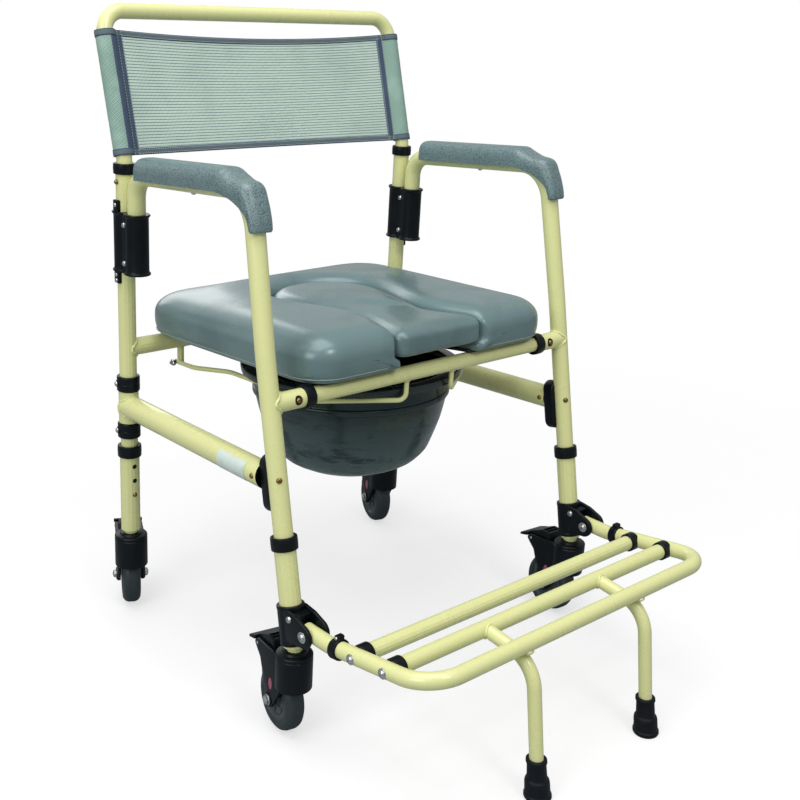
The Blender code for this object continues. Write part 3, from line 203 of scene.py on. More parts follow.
def newMaterial(name, colour, roughness, more=None):
    material = bpy.data.materials.new(name)
    material.use_nodes = True
    material.diffuse_color = colour
    tree = material.node_tree
    shader = put(tree, tree.nodes["Principled BSDF"], {"Base Color": colour, "Roughness": roughness, **(more or {})})
    return material, tree, shader, addNode(tree, "TexCoord", {}).outputs["Object"]


# Finishes
finishes = {
    "cream": {"base": srgb(218, 220, 156), "worn": srgb(212, 214, 149), "lowPatch": srgb(150, 150, 100), "rough": 0.28},
    "black": {"base": srgb(6, 12, 17), "dust": srgb(22, 30, 36), "rough": 0.34, "shine": 0.20},
    "seat": {"base": srgb(98, 121, 123), "deep": srgb(88, 110, 112), "rough": 0.28, "coat": 0.40},
    "arm": {"base": srgb(74, 95, 98), "fleck": srgb(152, 180, 182), "rough": 0.36, "coat": 0.45},
    # the pan's top colour is painted shade: it darkens the pan towards its rim, where the seat shades it
    "pan": {"base": srgb(84, 102, 104), "smear": srgb(24, 33, 35), "top": srgb(28, 37, 39), "fade": (0.335, 0.235),
            "rough": 0.22},
    "tyre": {"base": srgb(32, 44, 46), "dust": srgb(54, 66, 67), "rough": 0.55},
    "hub": {"base": srgb(54, 66, 68), "dust": srgb(80, 90, 90), "rough": 0.40},
    "tip": {"base": srgb(7, 11, 19), "dust": srgb(26, 30, 37), "rough": 0.5, "shine": 0.20},
}
sling = {"pitch": 0.0035, "strand": 0.0019, "thread": srgb(210, 231, 216), "yarn": srgb(70, 84, 110),
         "sleeve": srgb(172, 200, 187), "sleeveDark": srgb(112, 140, 130), "tape": srgb(104, 122, 116),
         "tapeShade": srgb(84, 98, 108), "tapeDark": srgb(56, 62, 108), "stitch": srgb(186, 200, 194)}


def glossOf(tree, marks, amount, rough):
    return maths(tree, "MULTIPLY_ADD", marks, amount, rough)


def creamPaint():
    look = finishes["cream"]
    material, tree, shader, place = newMaterial("creamPaint", look["base"], look["rough"],
                                                {"Coat Weight": 0.25, "Coat Roughness": 0.12})
    tone = maths(tree, "MULTIPLY", pattern(tree, "powder", place, 2200.0, "Tone"), 0.20)
    # the paint turns darker in patches towards the floor
    lowPatch = maths(tree, "MULTIPLY", pattern(tree, "lowPatch", place, 0.34), 0.16)
    put(tree, shader, {"Base Color": tint(tree, lowPatch, tint(tree, tone, look["base"], look["worn"]), look["lowPatch"]),
                       "Roughness": glossOf(tree, pattern(tree, "smudge", place, 26.0), 0.03, look["rough"] - 0.01),
                       "Normal": bump(tree, pattern(tree, "powder", place, 2200.0), 0.035, 0.0002)})
    return material


def dustyPlastic(name, kind, grain, strength, top=0.22):
    look = finishes[kind]
    material, tree, shader, place = newMaterial(name, look["base"], look["rough"],
                                                {"Specular IOR Level": look.get("shine", 0.5)})
    marks = pattern(tree, "smudge", place, 34.0)
    dust = maths(tree, "MULTIPLY_ADD", pattern(tree, "lowPatch", place, top), 0.35, maths(tree, "MULTIPLY", marks, 0.10))
    put(tree, shader, {"Base Color": tint(tree, dust, look["base"], look["dust"]),
                       "Roughness": glossOf(tree, marks, 0.10, look["rough"] - 0.03),
                       "Normal": bump(tree, pattern(tree, "pebble", place, grain), strength)})
    return material


def seatSkin():
    look = finishes["seat"]
    material, tree, shader, place = newMaterial("seatSkin", look["base"], look["rough"], {
        "Specular Tint": (0.74, 0.97, 1.0, 1.0), "Coat Weight": look["coat"], "Coat Roughness": 0.30})
    marks = pattern(tree, "smudge", place, 11.0)
    put(tree, shader, {"Base Color": tint(tree, marks, look["base"], look["deep"]),
                       "Roughness": glossOf(tree, marks, 0.07, look["rough"] - 0.03),
                       "Normal": bump(tree, pattern(tree, "pebble", place, 620.0), 0.10)})
    return material


def armSkin():
    look = finishes["arm"]
    material, tree, shader, place = newMaterial("armSkin", look["base"], look["rough"],
                                                {"Coat Weight": look["coat"], "Coat Roughness": 0.32})
    grain = pattern(tree, "pebble", place, 640.0)
    put(tree, shader, {"Base Color": tint(tree, maths(tree, "MULTIPLY", grain, 0.55), look["base"], look["fleck"]),
                       "Roughness": glossOf(tree, pattern(tree, "smudge", place, 18.0), 0.10, look["rough"] - 0.05),
                       "Normal": bump(tree, grain, 0.55, 0.0005)})
    return material


def panGloss():
    look = finishes["pan"]
    material, tree, shader, place = newMaterial("panGloss", look["base"], look["rough"],
                                                {"Specular Tint": (0.78, 0.98, 1.0, 1.0)})
    flat = addNode(tree, "Mapping", {"Vector": place, "Scale": (1.0, 1.0, 3.2)}).outputs["Vector"]
    smear, streak = pattern(tree, "smudge", flat, 13.0), pattern(tree, "smudge", flat, 34.0)
    mask = maths(tree, "MULTIPLY", maths(tree, "MULTIPLY", stretch(tree, smear, 0.25, 0.45), streak), 0.85)
    # painted shade: the pan turns to its dark top colour towards the rim, under the seat
    ground = tint(tree, stretch(tree, axisOf(tree, place, "Z"), *look["fade"]), look["top"], look["base"])
    put(tree, shader, {"Base Color": tint(tree, mask, ground, look["smear"]),
                       "Roughness": glossOf(tree, smear, 0.16, look["rough"] - 0.05),
                       "Normal": bump(tree, streak, 0.05, 0.0004)})
    return material


def shadeOf(colour, share):
    return tuple(value * share for value in colour[:3]) + (1.0,)


def platedMetal(name, colour, roughness):
    material, tree, shader, place = newMaterial(name, colour, roughness, {"Metallic": 1.0})
    marks = pattern(tree, "smudge", place, 240.0)
    put(tree, shader, {"Base Color": tint(tree, maths(tree, "MULTIPLY", marks, 0.7), colour, shadeOf(colour, 0.55)),
                       "Roughness": glossOf(tree, marks, 0.18, roughness),
                       "Normal": bump(tree, pattern(tree, "powder", place, 2600.0), 0.08, 0.0002)})
    return material


def plainVinyl(name, colour, roughness):
    material, tree, shader, place = newMaterial(name, colour, roughness)
    marks = pattern(tree, "smudge", place, 90.0)
    put(tree, shader, {"Base Color": tint(tree, marks, colour, shadeOf(colour, 0.86)),
                       "Normal": bump(tree, marks, 0.05)})
    return material


def ribValue(tree, place, axis, pitch):  # 0 in the gaps and 1 on the middle of each rib
    phase = maths(tree, "MULTIPLY_ADD", axisOf(tree, place, axis), 2 * pi / pitch, 0.0)
    return maths(tree, "MULTIPLY_ADD", maths(tree, "SINE", phase), 0.5, 0.5)


def uvPlace(tree):
    return addNode(tree, "UVMap", {}, uv_map="cloth").outputs["UV"]


def meshCloth():  # open net: dark yarns across a pale ground of fine strands with small holes
    material, tree, shader, place = newMaterial("meshCloth", sling["thread"], 0.72)
    cloth = uvPlace(tree)
    yarn = stretch(tree, ribValue(tree, cloth, "Y", sling["pitch"]), 0.72, 0.97)
    strand = ribValue(tree, cloth, "X", sling["strand"])
    frayed = maths(tree, "MULTIPLY_ADD", pattern(tree, "powder", place, 700.0), 0.5,
                   maths(tree, "MULTIPLY", strand, 0.25))
    dark = maths(tree, "MULTIPLY", yarn, stretch(tree, frayed, 0.62, 0.30, 0.55, 1.0))
    wash = maths(tree, "MULTIPLY", pattern(tree, "smudge", place, 14.0), 0.35)
    hole = maths(tree, "MULTIPLY", stretch(tree, strand, 0.30, 0.05), stretch(tree, yarn, 0.25, 0.0))
    ground = tint(tree, wash, sling["thread"], sling["sleeve"])
    put(tree, shader, {"Base Color": tint(tree, dark, ground, sling["yarn"]),
                       "Alpha": maths(tree, "MULTIPLY_ADD", hole, -0.75, 0.94),
                       "Normal": bump(tree, maths(tree, "ADD", yarn, strand), 0.45, 0.0004)})
    return material


def wovenCloth(name, light, dark, pitch, strength, edge=None):  # diagonal twill, on a tape with darker edges
    material, tree, shader, place = newMaterial(name, light, 0.78, {"Specular IOR Level": 0.25})
    cloth = uvPlace(tree)
    turned = addNode(tree, "Mapping", {"Vector": cloth, "Rotation": (0, 0, radians(38))}).outputs["Vector"]
    warp, weft = ribValue(tree, turned, "X", pitch), ribValue(tree, turned, "Y", pitch * 1.7)
    weave = maths(tree, "MULTIPLY", warp, maths(tree, "MULTIPLY_ADD", weft, 0.5, 0.5))
    mask = maths(tree, "MULTIPLY_ADD", pattern(tree, "smudge", place, 24.0), 0.25, maths(tree, "MULTIPLY", weave, 0.75))
    colour = tint(tree, mask, dark, light)
    if edge:
        rim = stretch(tree, maths(tree, "ABSOLUTE", axisOf(tree, cloth, "Y")), 0.0024, 0.0033)
        colour = tint(tree, rim, colour, edge)
    put(tree, shader, {"Base Color": colour, "Normal": bump(tree, weave, strength, 0.0004)})
    return material


# Each finish is a material and the name of a slot; only the material is used here
steel = creamPaint(), "cream_steel"
black = dustyPlastic("blackPlastic", "black", 900.0, 0.10), "black_plastic"
seatFoam = seatSkin(), "seat_foam"
armFoam = armSkin(), "arm_foam"
panPlastic = panGloss(), "pan_plastic"
tyreRubber = dustyPlastic("tyreRubber", "tyre", 500.0, 0.25, 0.10), "tyre_grey"
hubPlastic = dustyPlastic("hubPlastic", "hub", 800.0, 0.10, 0.09), "tyre_grey"
tipRubber = dustyPlastic("tipRubber", "tip", 600.0, 0.22, 0.07), "rubber"
netCloth = meshCloth(), "sling_mesh"
sleeveCloth = wovenCloth("sleeveTwill", sling["sleeve"], sling["sleeveDark"], 0.0021, 0.55), "sling_mesh"
tapeCloth = wovenCloth("edgeTape", sling["tape"], sling["tapeShade"], 0.0013, 0.35, sling["tapeDark"]), "sling_mesh"
# the seam strips are real tapes; their dark colour and the lap on the left sleeve paint the shade where the left sleeve
# meets the net
stripAndShadeCloth = wovenCloth("seamStripAndShade", srgb(88, 104, 120), srgb(60, 72, 98), 0.0013, 0.35), "sling_mesh"
stitchThread = plainVinyl("stitchThread", sling["stitch"], 0.8), "sling_mesh"
seamFoam = plainVinyl("seamLine", srgb(132, 154, 156), 0.4), "seat_foam"
boardPlastic = plainVinyl("underBoard", srgb(30, 36, 38), 0.7), "black_plastic"
labelVinyl = plainVinyl("blankLabel", srgb(208, 222, 214), 0.42), None
fittingLooks = {"zinc": (platedMetal("zincPlate", srgb(196, 200, 200), 0.28), None),
                "brass": (platedMetal("brassPlate", srgb(150, 122, 78), 0.30), None), "black": black,
                "rose": (plainVinyl("roseMarker", srgb(158, 78, 100), 0.45), None), "pale": (hubPlastic[0], None)}
print("finishes made")


# Shaping tools
def roundPath(corners, radii, step=radians(7.5)):  # straight runs with an arc at each inner corner
    corners = [Vector(corner) for corner in corners]
    points = [corners[0]]
    for before, corner, after, radius in zip(corners, corners[1:], corners[2:], radii):
        into, out = (corner - before).normalized(), (after - corner).normalized()
        turn = into.angle(out)
        if radius <= 0 or turn < 1e-4:
            points.append(corner)
            continue
        reach = radius * tan(turn / 2)
        centre = corner + (out - into).normalized() * hypot(radius, reach)
        axis = into.cross(out).normalized()
        spoke = corner - into * reach - centre
        count = max(2, ceil(turn / step))
        points += [centre + Matrix.Rotation(turn * i / count, 3, axis) @ spoke for i in range(count + 1)]
    points.append(corners[-1])
    return points


def pathFrames(points, closed=False):  # Z runs along the path
    frames, count, across, previous = [], len(points), None, None
    for index, point in enumerate(points):
        before = points[index - 1] if index or closed else point
        after = points[(index + 1) % count] if index < count - 1 or closed else point
        way = (after - before).normalized()
        if across is None:
            across = Vector((0, 1, 0)) if abs(way.x) > 0.9 else Vector((1, 0, 0))
        else:
            across = previous.rotation_difference(way) @ across
        across = (across - way * across.dot(way)).normalized()
        turned = Matrix((across, way.cross(across), way)).transposed().to_4x4()
        turned.translation = point
        frames.append(turned)
        previous = way
    return frames


def nextRing(bm, ring):  # extrudes a loop of edges and returns the new edges and verts
    made = bmesh.ops.extrude_edge_only(bm, edges=ring)["geom"]
    moved = [item for item in made if isinstance(item, bmesh.types.BMVert)]
    fresh = set(moved)
    return [item for item in made if isinstance(item, bmesh.types.BMEdge) and set(item.verts) <= fresh], moved


def sweepTube(bm, points, radius, sides=32, closed=False):
    radii = radius if isinstance(radius, (list, tuple)) else [radius] * len(points)
    frames = [turned @ Matrix.Scale(size, 4) for turned, size in zip(pathFrames(points, closed), radii)]
    if closed:
        frames.append(frames[0])
    made = bmesh.ops.create_circle(bm, cap_ends=not closed, radius=1.0, segments=sides, matrix=frames[0])
    ring = list({edge for vert in made["verts"] for edge in vert.link_edges})
    for before, after in zip(frames, frames[1:]):
        ring, moved = nextRing(bm, ring)
        bmesh.ops.transform(bm, matrix=after @ before.inverted(), verts=moved)
    if not closed:
        bmesh.ops.contextual_create(bm, geom=ring)
    return bm


def loftRings(bm, rings, capped=True):  # extrudes a loop from one ring of places to the next
    verts = [bm.verts.new(point) for point in rings[0]]
    ring = [bm.edges.new((vert, after)) for vert, after in zip(verts, verts[1:] + verts[:1])]
    if capped:
        bm.faces.new(verts)
    for targets in rings[1:]:
        place = dict(zip(verts, targets))
        ring, moved = nextRing(bm, ring)
        fresh, after = set(moved), {}
        for vert in moved:
            source = next(edge.other_vert(vert) for edge in vert.link_edges if edge.other_vert(vert) not in fresh)
            vert.co = place[source]
            after[source] = vert
        verts = [after[vert] for vert in verts]
    if capped:
        bmesh.ops.contextual_create(bm, geom=ring)
    return bm


def turnProfile(bm, profile, matrix=Matrix(), steps=48):  # spins (radius, height) about the frame's Z
    verts = [bm.verts.new((radius, 0, height)) for radius, height in profile]
    edges = [bm.edges.new(pair) for pair in zip(verts, verts[1:])]
    if profile[0][0] > 1e-6 and profile[-1][0] > 1e-6:
        edges.append(bm.edges.new((verts[-1], verts[0])))
    before = set(bm.verts) - set(verts)
    bmesh.ops.spin(bm, geom=verts + edges, cent=(0, 0, 0), axis=(0, 0, 1), steps=steps, angle=2 * pi, use_merge=True)
    bmesh.ops.remove_doubles(bm, verts=[vert for vert in bm.verts if vert not in before], dist=1e-6)
    bmesh.ops.transform(bm, matrix=matrix, verts=[vert for vert in bm.verts if vert not in before])
    return bm


def softProfile(points, radii):  # a (radius, height) outline with its inner corners rounded
    bent = roundPath([Vector((radius, 0, height)) for radius, height in points], radii, radians(22.5))
    return [(max(point.x, 0.0), point.z) for point in bent]


def softLoop(points, radius, steps=4):  # a closed (y, z) outline with its corners rounded
    points = [Vector(point) for point in points]
    result = []
    for index, corner in enumerate(points):
        into, out = corner - points[index - 1], points[(index + 1) % len(points)] - corner
        room = 0.46 * min(into.length, out.length)
        into.normalize()
        out.normalize()
        turn = into.angle(out)
        if turn < 0.05:
            result.append(corner)
            continue
        reach = min(radius * tan(turn / 2), room)
        start, end = corner - into * reach, corner + out * reach
        for share in (i / steps for i in range(steps + 1)):
            result.append(start.lerp(corner, share).lerp(corner.lerp(end, share), share))
    return result


def soften(bm, edges, offset, segments):
    bmesh.ops.bevel(bm, geom=edges, offset=offset, offset_type="OFFSET", segments=segments, profile=0.5,
                    affect="EDGES", material=-1, clamp_overlap=True)


def plate(bm, outline, thickness, offset=0.0, segments=2):  # an outline of points pushed along a vector
    before = set(bm.verts)
    face = bm.faces.new([bm.verts.new(point) for point in outline])
    made = bmesh.ops.extrude_face_region(bm, geom=[face])["geom"]
    bmesh.ops.translate(bm, vec=thickness, verts=[item for item in made if isinstance(item, bmesh.types.BMVert)])
    fresh = [vert for vert in bm.verts if vert not in before]
    bmesh.ops.recalc_face_normals(bm, faces=list({face for vert in fresh for face in vert.link_faces}))
    if offset:
        way = Vector(thickness).normalized()
        rims = {edge for vert in fresh for edge in vert.link_edges
                if abs((edge.verts[1].co - edge.verts[0].co).normalized().dot(way)) < 0.5}
        soften(bm, list(rims), offset, segments)
    return bm


def sidePlate(bm, outline, ends, offset=0.0, segments=2):  # an outline of (y, z) between two x values
    low, high = sorted(ends)
    return plate(bm, [(low, y, z) for y, z in outline], (high - low, 0, 0), offset, segments)


def block(bm, size, matrix, offset=0.0, segments=2):
    made = bmesh.ops.create_cube(bm, size=1.0, matrix=matrix @ Matrix.Diagonal((*size, 1.0)))
    if offset:
        soften(bm, list({edge for vert in made["verts"] for edge in vert.link_edges}), offset, segments)
    return bm


def cleanMesh(bm):
    bmesh.ops.remove_doubles(bm, verts=bm.verts, dist=1e-6)
    bmesh.ops.recalc_face_normals(bm, faces=bm.faces)


def carve(bm, tool):  # cuts one solid out of another
    items = []
    for source in (bm, tool):
        cleanMesh(source)
        mesh = bpy.data.meshes.new("carving")
        source.to_mesh(mesh)
        source.free()
        items.append(linked("carving", mesh))
    step = items[0].modifiers.new("carve", "BOOLEAN")
    step.operation, step.solver, step.object = "DIFFERENCE", "EXACT", items[1]
    result = bmesh.new()
    result.from_object(items[0], bpy.context.evaluated_depsgraph_get())
    for item in items:
        bpy.data.meshes.remove(item.data)
    return result


def finishPiece(name, bm, finish, body, *nodes, sharp=40, tidy=True):  # nodes are the solids that it replaces
    if tidy:
        cleanMesh(bm)
    mesh = bpy.data.meshes.new(name)
    bm.to_mesh(mesh)
    bm.free()
    mesh.materials.append(finish[0])
    mesh.shade_smooth()
    if sharp:
        mesh.set_sharp_from_angle(angle=radians(sharp))
    piece = linked(name, mesh)
    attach(piece, body)
    if nodes:
        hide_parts(*nodes)
    return piece


hardware = {}  # small fittings gathered by the body that carries them and their finish


def kit(body, finish):
    return hardware.setdefault((body, finish), bmesh.new())


# Small fittings, each in a frame with Z pointing out of the surface
def screwHead(bm, matrix, radius=0.0034, height=0.0021):
    shape = ((0, 0.45), (0.30, 0.45), (0.36, 1), (0.62, 0.92), (0.88, 0.60), (1, 0.18), (1, -0.6), (0, -0.6))
    turnProfile(bm, [(radius * x, height * z) for x, z in shape], matrix, 20)
    for spin in (0, pi / 2):  # crossed slot
        block(bm, (radius * 1.15, radius * 0.20, height * 0.30),
              matrix @ move(0, 0, height * 0.80) @ Matrix.Rotation(spin + 0.4, 4, "Z"))


def washer(bm, matrix, radius, thick):
    profile = softProfile([(0, thick), (radius, thick), (radius, -thick), (0, -thick)], [thick * 0.6] * 2)
    turnProfile(bm, profile, matrix, 28)


def hexHead(bm, matrix, radius, height, domed=False):
    top = [(0, height * 1.35), (radius * 0.55, height * 1.18)] if domed else [(0, height)]
    outline = top + [(radius * 0.84, height), (radius, height * 0.82), (radius, -height * 0.3), (0, -height * 0.3)]
    turnProfile(bm, outline, matrix, 6)


def snapButton(matrix, radius=0.0030, height=0.0030):
    dome = [(0, height), (radius * 0.55, height * 0.93), (radius * 0.86, height * 0.66), (radius, height * 0.2)]
    turnProfile(kit("main_frame", "brass"), dome + [(radius, -0.002), (0, -0.002)], matrix, 24)


def disc(bm, matrix, radius, top, low, steps):  # a plain pin or plug between two heights
    turnProfile(bm, [(0, top), (radius, top), (radius, low), (0, low)], matrix, steps)


def weldBead(bm, points, radius, seed):  # a rippled fillet along a closed line
    sizes = [radius * (1 + 0.13 * sin(index * 1.9 + seed) + 0.22 * noise.noise(point * 210 + Vector((seed, 0, 0))))
             for index, point in enumerate(points)]
    sweepTube(bm, points, sizes, 10, closed=True)


def branchLine(place, way, hostWay, branch, host, count=44):  # where a round branch meets a round host
    way, hostWay = Vector(way).normalized(), Vector(hostWay).normalized()
    across = way.cross(hostWay).normalized()
    along = across.cross(way).normalized()
    return [Vector(place) + along * x + across * y + way * sqrt(max(host * host - y * y, 0.0))
            for x, y in arc(branch, 0, 2 * pi, count)[:-1]]


# Collars over tube mouths and clamps on the posts
collar = {"wall": 0.0025, "over": 0.0110, "shortOver": 0.0085, "lip": 0.0045, "round": 0.0012, "rearMouth": 0.2365,
          "frontMouth": 0.1245, "pivotRadius": 0.0146, "pivotHeight": 0.0200}


def mouthCollar(name, matrix, big, small, over, body, node):
    outer, inner, lip = tube[big] + collar["wall"], tube[small] + tube["gap"], collar["lip"]
    big, over = tube[big], collar[over]
    points = [(inner, -0.002), (big, -0.002), (big + 0.0003, -over), (outer, -over), (outer + 0.0003, -over * 0.2),
              (outer, lip), (inner, lip), (inner, -0.001)]
    bm = turnProfile(bmesh.new(), softProfile(points, [0, 0, 0.0008, 0.02, collar["round"], 0.0008]), matrix, 56)
    finishPiece(name, bm, black, body, node)


def pivotCollar(name, side, low, node):
    radius, height, inner = collar["pivotRadius"], collar["pivotHeight"], tube["post"] + 0.0001
    middle, high = low + height / 2, low + height
    points = [(inner, middle), (inner, low), (radius, low), (radius, middle - 0.0008), (radius - 0.0006, middle),
              (radius, middle + 0.0008), (radius, high), (inner, high), (inner, middle)]
    bm = turnProfile(bmesh.new(), softProfile(points, [0.0006, 0.0016, 0.0006, 0.0004, 0.0006, 0.0016, 0.0006]),
                     move(side * postX, postY), 56)
    boss = facing((side * (postX + radius * 0.93), postY + radius * 0.23, middle), (side, 0.25, 0))
    turnProfile(bm, softProfile([(0, 0.0016), (0.0050, 0.0016), (0.0050, -0.004), (0, -0.004)], [0.001, 0]), boss, 28)
    finishPiece(name, bm, black, "main_frame", node)
    screwHead(kit("main_frame", "zinc"), boss @ move(0, 0, 0.0018))


def makeCollars():
    high, low = (rail["rearZ"] + way * (rail["sleeveHalf"] + tube["gap"]) for way in (1, -1))
    for name, side in sides.items():
        mouthCollar("legCollarRear." + name, move(side * postX, postY, collar["rearMouth"]), "lower", "post", "over",
                    "leg_extension_rear_" + name, "leg_collar_rear_" + name)
        mouthCollar("legCollarFront." + name, leaning(side) @ move(0, 0, collar["frontMouth"]), "lower", "post", "over",
                    "leg_extension_front_" + name, "leg_collar_front_" + name)
        mouthCollar("backCollar." + name, move(side * postX, postY, postTop), "post", "thin", "shortOver", "main_frame",
                    "back_collar_" + name)
        mouthCollar("crossbarCollar." + name, inward(side * (legX - arm["stub"]), frontBarY, frontBarZ, side), "post",
                    "thin", "shortOver", "main_frame", "crossbar_collar_" + name)
        pivotCollar("pivotCollarUpper." + name, side, high, "pivot_collar_upper_" + name)
        pivotCollar("pivotCollarLower." + name, side, low - collar["pivotHeight"], "pivot_collar_lower_" + name)


# Front legs: one bent tube a side, from the telescopic foot over the arm to its bracket
arm = {"kneeZ": 0.445, "frontX": legX - 0.0047, "rearOffset": 0.0266, "rearZ": 0.5955, "rise": 0.085,
       "kneeBend": 0.15, "frontBend": 0.047, "rearBend": 0.030, "endZ": 0.478, "start": 0.0225,
       "stub": 0.0512, "boltIn": 0.031, "screwReach": 0.116, "boltTurn": radians(28.0), "boltUp": 0.194}
armRearY = postY - arm["rearOffset"]


def armCorners(side):
    slope = tan(tube["lean"])
    z = (arm["rearZ"] + arm["rise"] * (armRearY - footY + slope * tube["casterTop"])) / (1 + arm["rise"] * slope)
    return [Vector((side * arm["frontX"], footY + legOffset(z), z)), Vector((side * postX, armRearY, arm["rearZ"]))]


def legPoints(side):
    knee = Vector((side * legX, footY + legOffset(arm["kneeZ"]), arm["kneeZ"]))
    return (leaning(side) @ Vector((0, 0, arm["start"])), knee, *armCorners(side),
            Vector((side * postX, armRearY, arm["endZ"])))


def makeFrontLegs():
    for name, side in sides.items():
        path = roundPath(legPoints(side), [arm["kneeBend"], arm["frontBend"], arm["rearBend"]], radians(5))
        bm = sweepTube(bmesh.new(), path, tube["post"], 40)
        hub = Vector((side * legX, frontBarY, frontBarZ))
        sweepTube(bm, [hub, hub - Vector((side * arm["stub"], 0, 0))], tube["post"], 40)
        legWay = (0, sin(tube["lean"]), cos(tube["lean"]))
        weldBead(bm, branchLine(hub, (-side, 0, 0), legWay, tube["post"] + 0.0004, tube["post"]), 0.0016, side)
        finishPiece("frontLeg." + name, bm, steel, "main_frame", "front_leg_" + name)
        # bolt through the stub, on a dark disc of painted shade that stands for a shallow recess
        bolt = facing(hub + Vector((-side * arm["boltIn"], -tube["post"] + 0.0004, 0.002)), (0, -1, 0.18))
        recessShade = [(0, 0.0005), (0.0050, 0.0005), (0.0056, -0.001), (0, -0.001)]
        turnProfile(kit("main_frame", "black"), recessShade, bolt, 24)
        screwHead(kit("main_frame", "brass"), bolt, 0.0033, 0.0022)
        # small screw under the arm, near the pad's front
        front, rear = armCorners(side)
        under = front + (rear - front).normalized() * arm["screwReach"] - Vector((0, 0, tube["post"] - 0.0004))
        screwHead(kit("main_frame", "zinc"), facing(under, (0, -0.08, -1)), 0.0030, 0.0022)
        # bolt that holds the side rail's saddle
        way = Vector((-sin(arm["boltTurn"]), -cos(arm["boltTurn"]), 0))
        place = leaning(side) @ (way * (tube["post"] - 0.0003) + Vector((0, 0, arm["boltUp"])))
        screwHead(kit("main_frame", "brass"), facing(place, way), 0.0035, 0.0024)


# Side rails: wide tubes fitted to a sleeve on the post and closed by a saddle on the leg
rail = {"rearZ": 0.2943, "frontZ": 0.307, "saddleThick": 0.011, "sleeve": 0.0127, "sleeveHalf": 0.0215, "sides": 64,
        "buried": 0.0006}


def railLine(side):
    back = tube["post"] + rail["saddleThick"]
    height = (rail["frontZ"] - tube["casterTop"] + back * sin(tube["lean"])) / cos(tube["lean"])
    rear, front = Vector((side * postX, postY, rail["rearZ"])), leaning(side) @ Vector((0, back, height))
    way = (front - rear).normalized()
    return rear, front, way, Vector((1, 0, 0)).cross(way).normalized(), height


def makeSideRails():
    low, high = rail["rearZ"] - rail["sleeveHalf"], rail["rearZ"] + rail["sleeveHalf"]
    bore, wall = tube["post"] + tube["gap"], tube["post"] + 0.0009  # the seam lies inside the sleeve's wall
    for name, side in sides.items():
        rear, front, way, up, _ = railLine(side)
        back = leaning(side).to_3x3() @ Vector((0, 1, 0))
        feet = [(rear + Vector((x, 0, 0)) + up * y, sqrt(max(wall ** 2 - x * x, 0.0)), x)
                for x, y in arc(tube["rail"], 0, 2 * pi, rail["sides"])[:-1]]
        rings = [[foot + Vector((between(x, -wall, wall) - x, 0, 0)) + way * reach for foot, reach, x in feet]]
        for share in (0.0, 0.25, 0.5, 0.75, 1.0):
            ring = []
            for foot, reach, _ in feet:
                far = (front - foot).dot(back) / way.dot(back) + rail["buried"]
                ring.append(foot + way * (reach + (far - reach) * share))
            rings.append(ring)
        bm = loftRings(bmesh.new(), rings, capped=False)
        profile = softProfile([(bore, low), (rail["sleeve"], low), (rail["sleeve"], high), (bore, high)], [0.0006] * 2)
        turnProfile(bm, profile, move(side * postX, postY), 56)
        finishPiece("sideRail." + name, bm, steel, "main_frame", "side_rail_" + name)
        wide = tube["rail"] - 0.0008
        plug = softProfile([(0, 0), (wide, 0), (wide, -0.006), (0, -0.006)], [0.001, 0])
        turnProfile(kit("main_frame", "black"), plug, facing(front - way * 0.0034, way), 40)


# The rear frame keeps its solid; weld beads, bolts and buttons are added
hanger = {"x": 0.150, "drop": 0.031,
          "strap": ((0.0032, -0.0055), (0.0032, 0.0055), (-0.0032, 0.0055), (-0.0032, -0.0055))}
button = {"rise": 0.0525, "rows": 0.020, "top": 0.018}


def makeRearFrame():
    bm = bmesh.new()
    for side in sides.values():
        hub = (side * postX, postY, rearBarZ)
        weldBead(bm, branchLine(hub, (-side, 0, 0), (0, 0, 1), tube["post"] + 0.0004, tube["post"]), 0.0017, side * 3)
        strap = [(side * hanger["x"] + x, postY + y, rearBarZ - 0.0090) for x, y in hanger["strap"]]
        weldBead(bm, roundPath(strap + [strap[0]], [0.002, 0.002, 0.002])[:-1], 0.0012, side)
        rear, _, way, up, _ = railLine(side)
        seam = [rear + Vector((x, 0, 0)) - up * y + way * sqrt(max(rail["sleeve"] ** 2 - x * x, 0.0))
                for x, y in arc(tube["rail"] + 0.0002, 0, 2 * pi, 64)[:-1]]
        weldBead(bm, seam, 0.0013, side * 5)
    finishPiece("rearWelds", bm, steel, "main_frame")
    zincs, brasses = kit("main_frame", "zinc"), kit("main_frame", "brass")
    for name, side in sides.items():
        snapButton(facing((side * (postX + tube["post"] - 0.0006), postY, postTop - button["top"]), (side, 0, 0)),
                   0.0032, 0.0036)
        rear = move(side * postX, postY, tube["casterTop"] + button["rise"])
        snapButton(rear @ facing((0, -tube["lower"] + 0.0012, 0), (0, -1, 0)))
        snapButton(leaning(side) @ facing((0, tube["lower"] - 0.0012, button["rise"]), (0, 1, 0)))
        for row in (1, 2):  # the free holes above the button, each filled with a dark disc of painted shade
            disc(kit("leg_extension_rear_" + name, "black"),
                 rear @ facing((0, -tube["lower"] + 0.0006, row * button["rows"]), (0, -1, 0)), 0.0031, 0, -0.0006, 20)
        bolt = Vector((side * hanger["x"], postY, rearBarZ - hanger["drop"]))
        hexHead(zincs, facing(bolt + Vector((side * 0.0105, 0, 0)), (side, 0, 0)), 0.0045, 0.0034)
        disc(zincs, facing(bolt, (side, 0, 0)), 0.0022, 0.016, -0.004, 16)
        _, front, way, _, _ = railLine(side)
        for face in (1, -1):  # screws near the rail's front end
            place = front - way * 0.0065 + Vector((side * face * (tube["rail"] - 0.0004), 0, 0.001))
            screwHead(brasses, facing(place, (side * face, 0, 0.05)), 0.0034, 0.0022)


# Saddle: a soft-edged plate that seats on the back of the leg
saddle = {"width": 0.024, "inward": 0.003, "length": 0.066, "above": 0.025, "start": 0.0045, "soften": 0.0032}


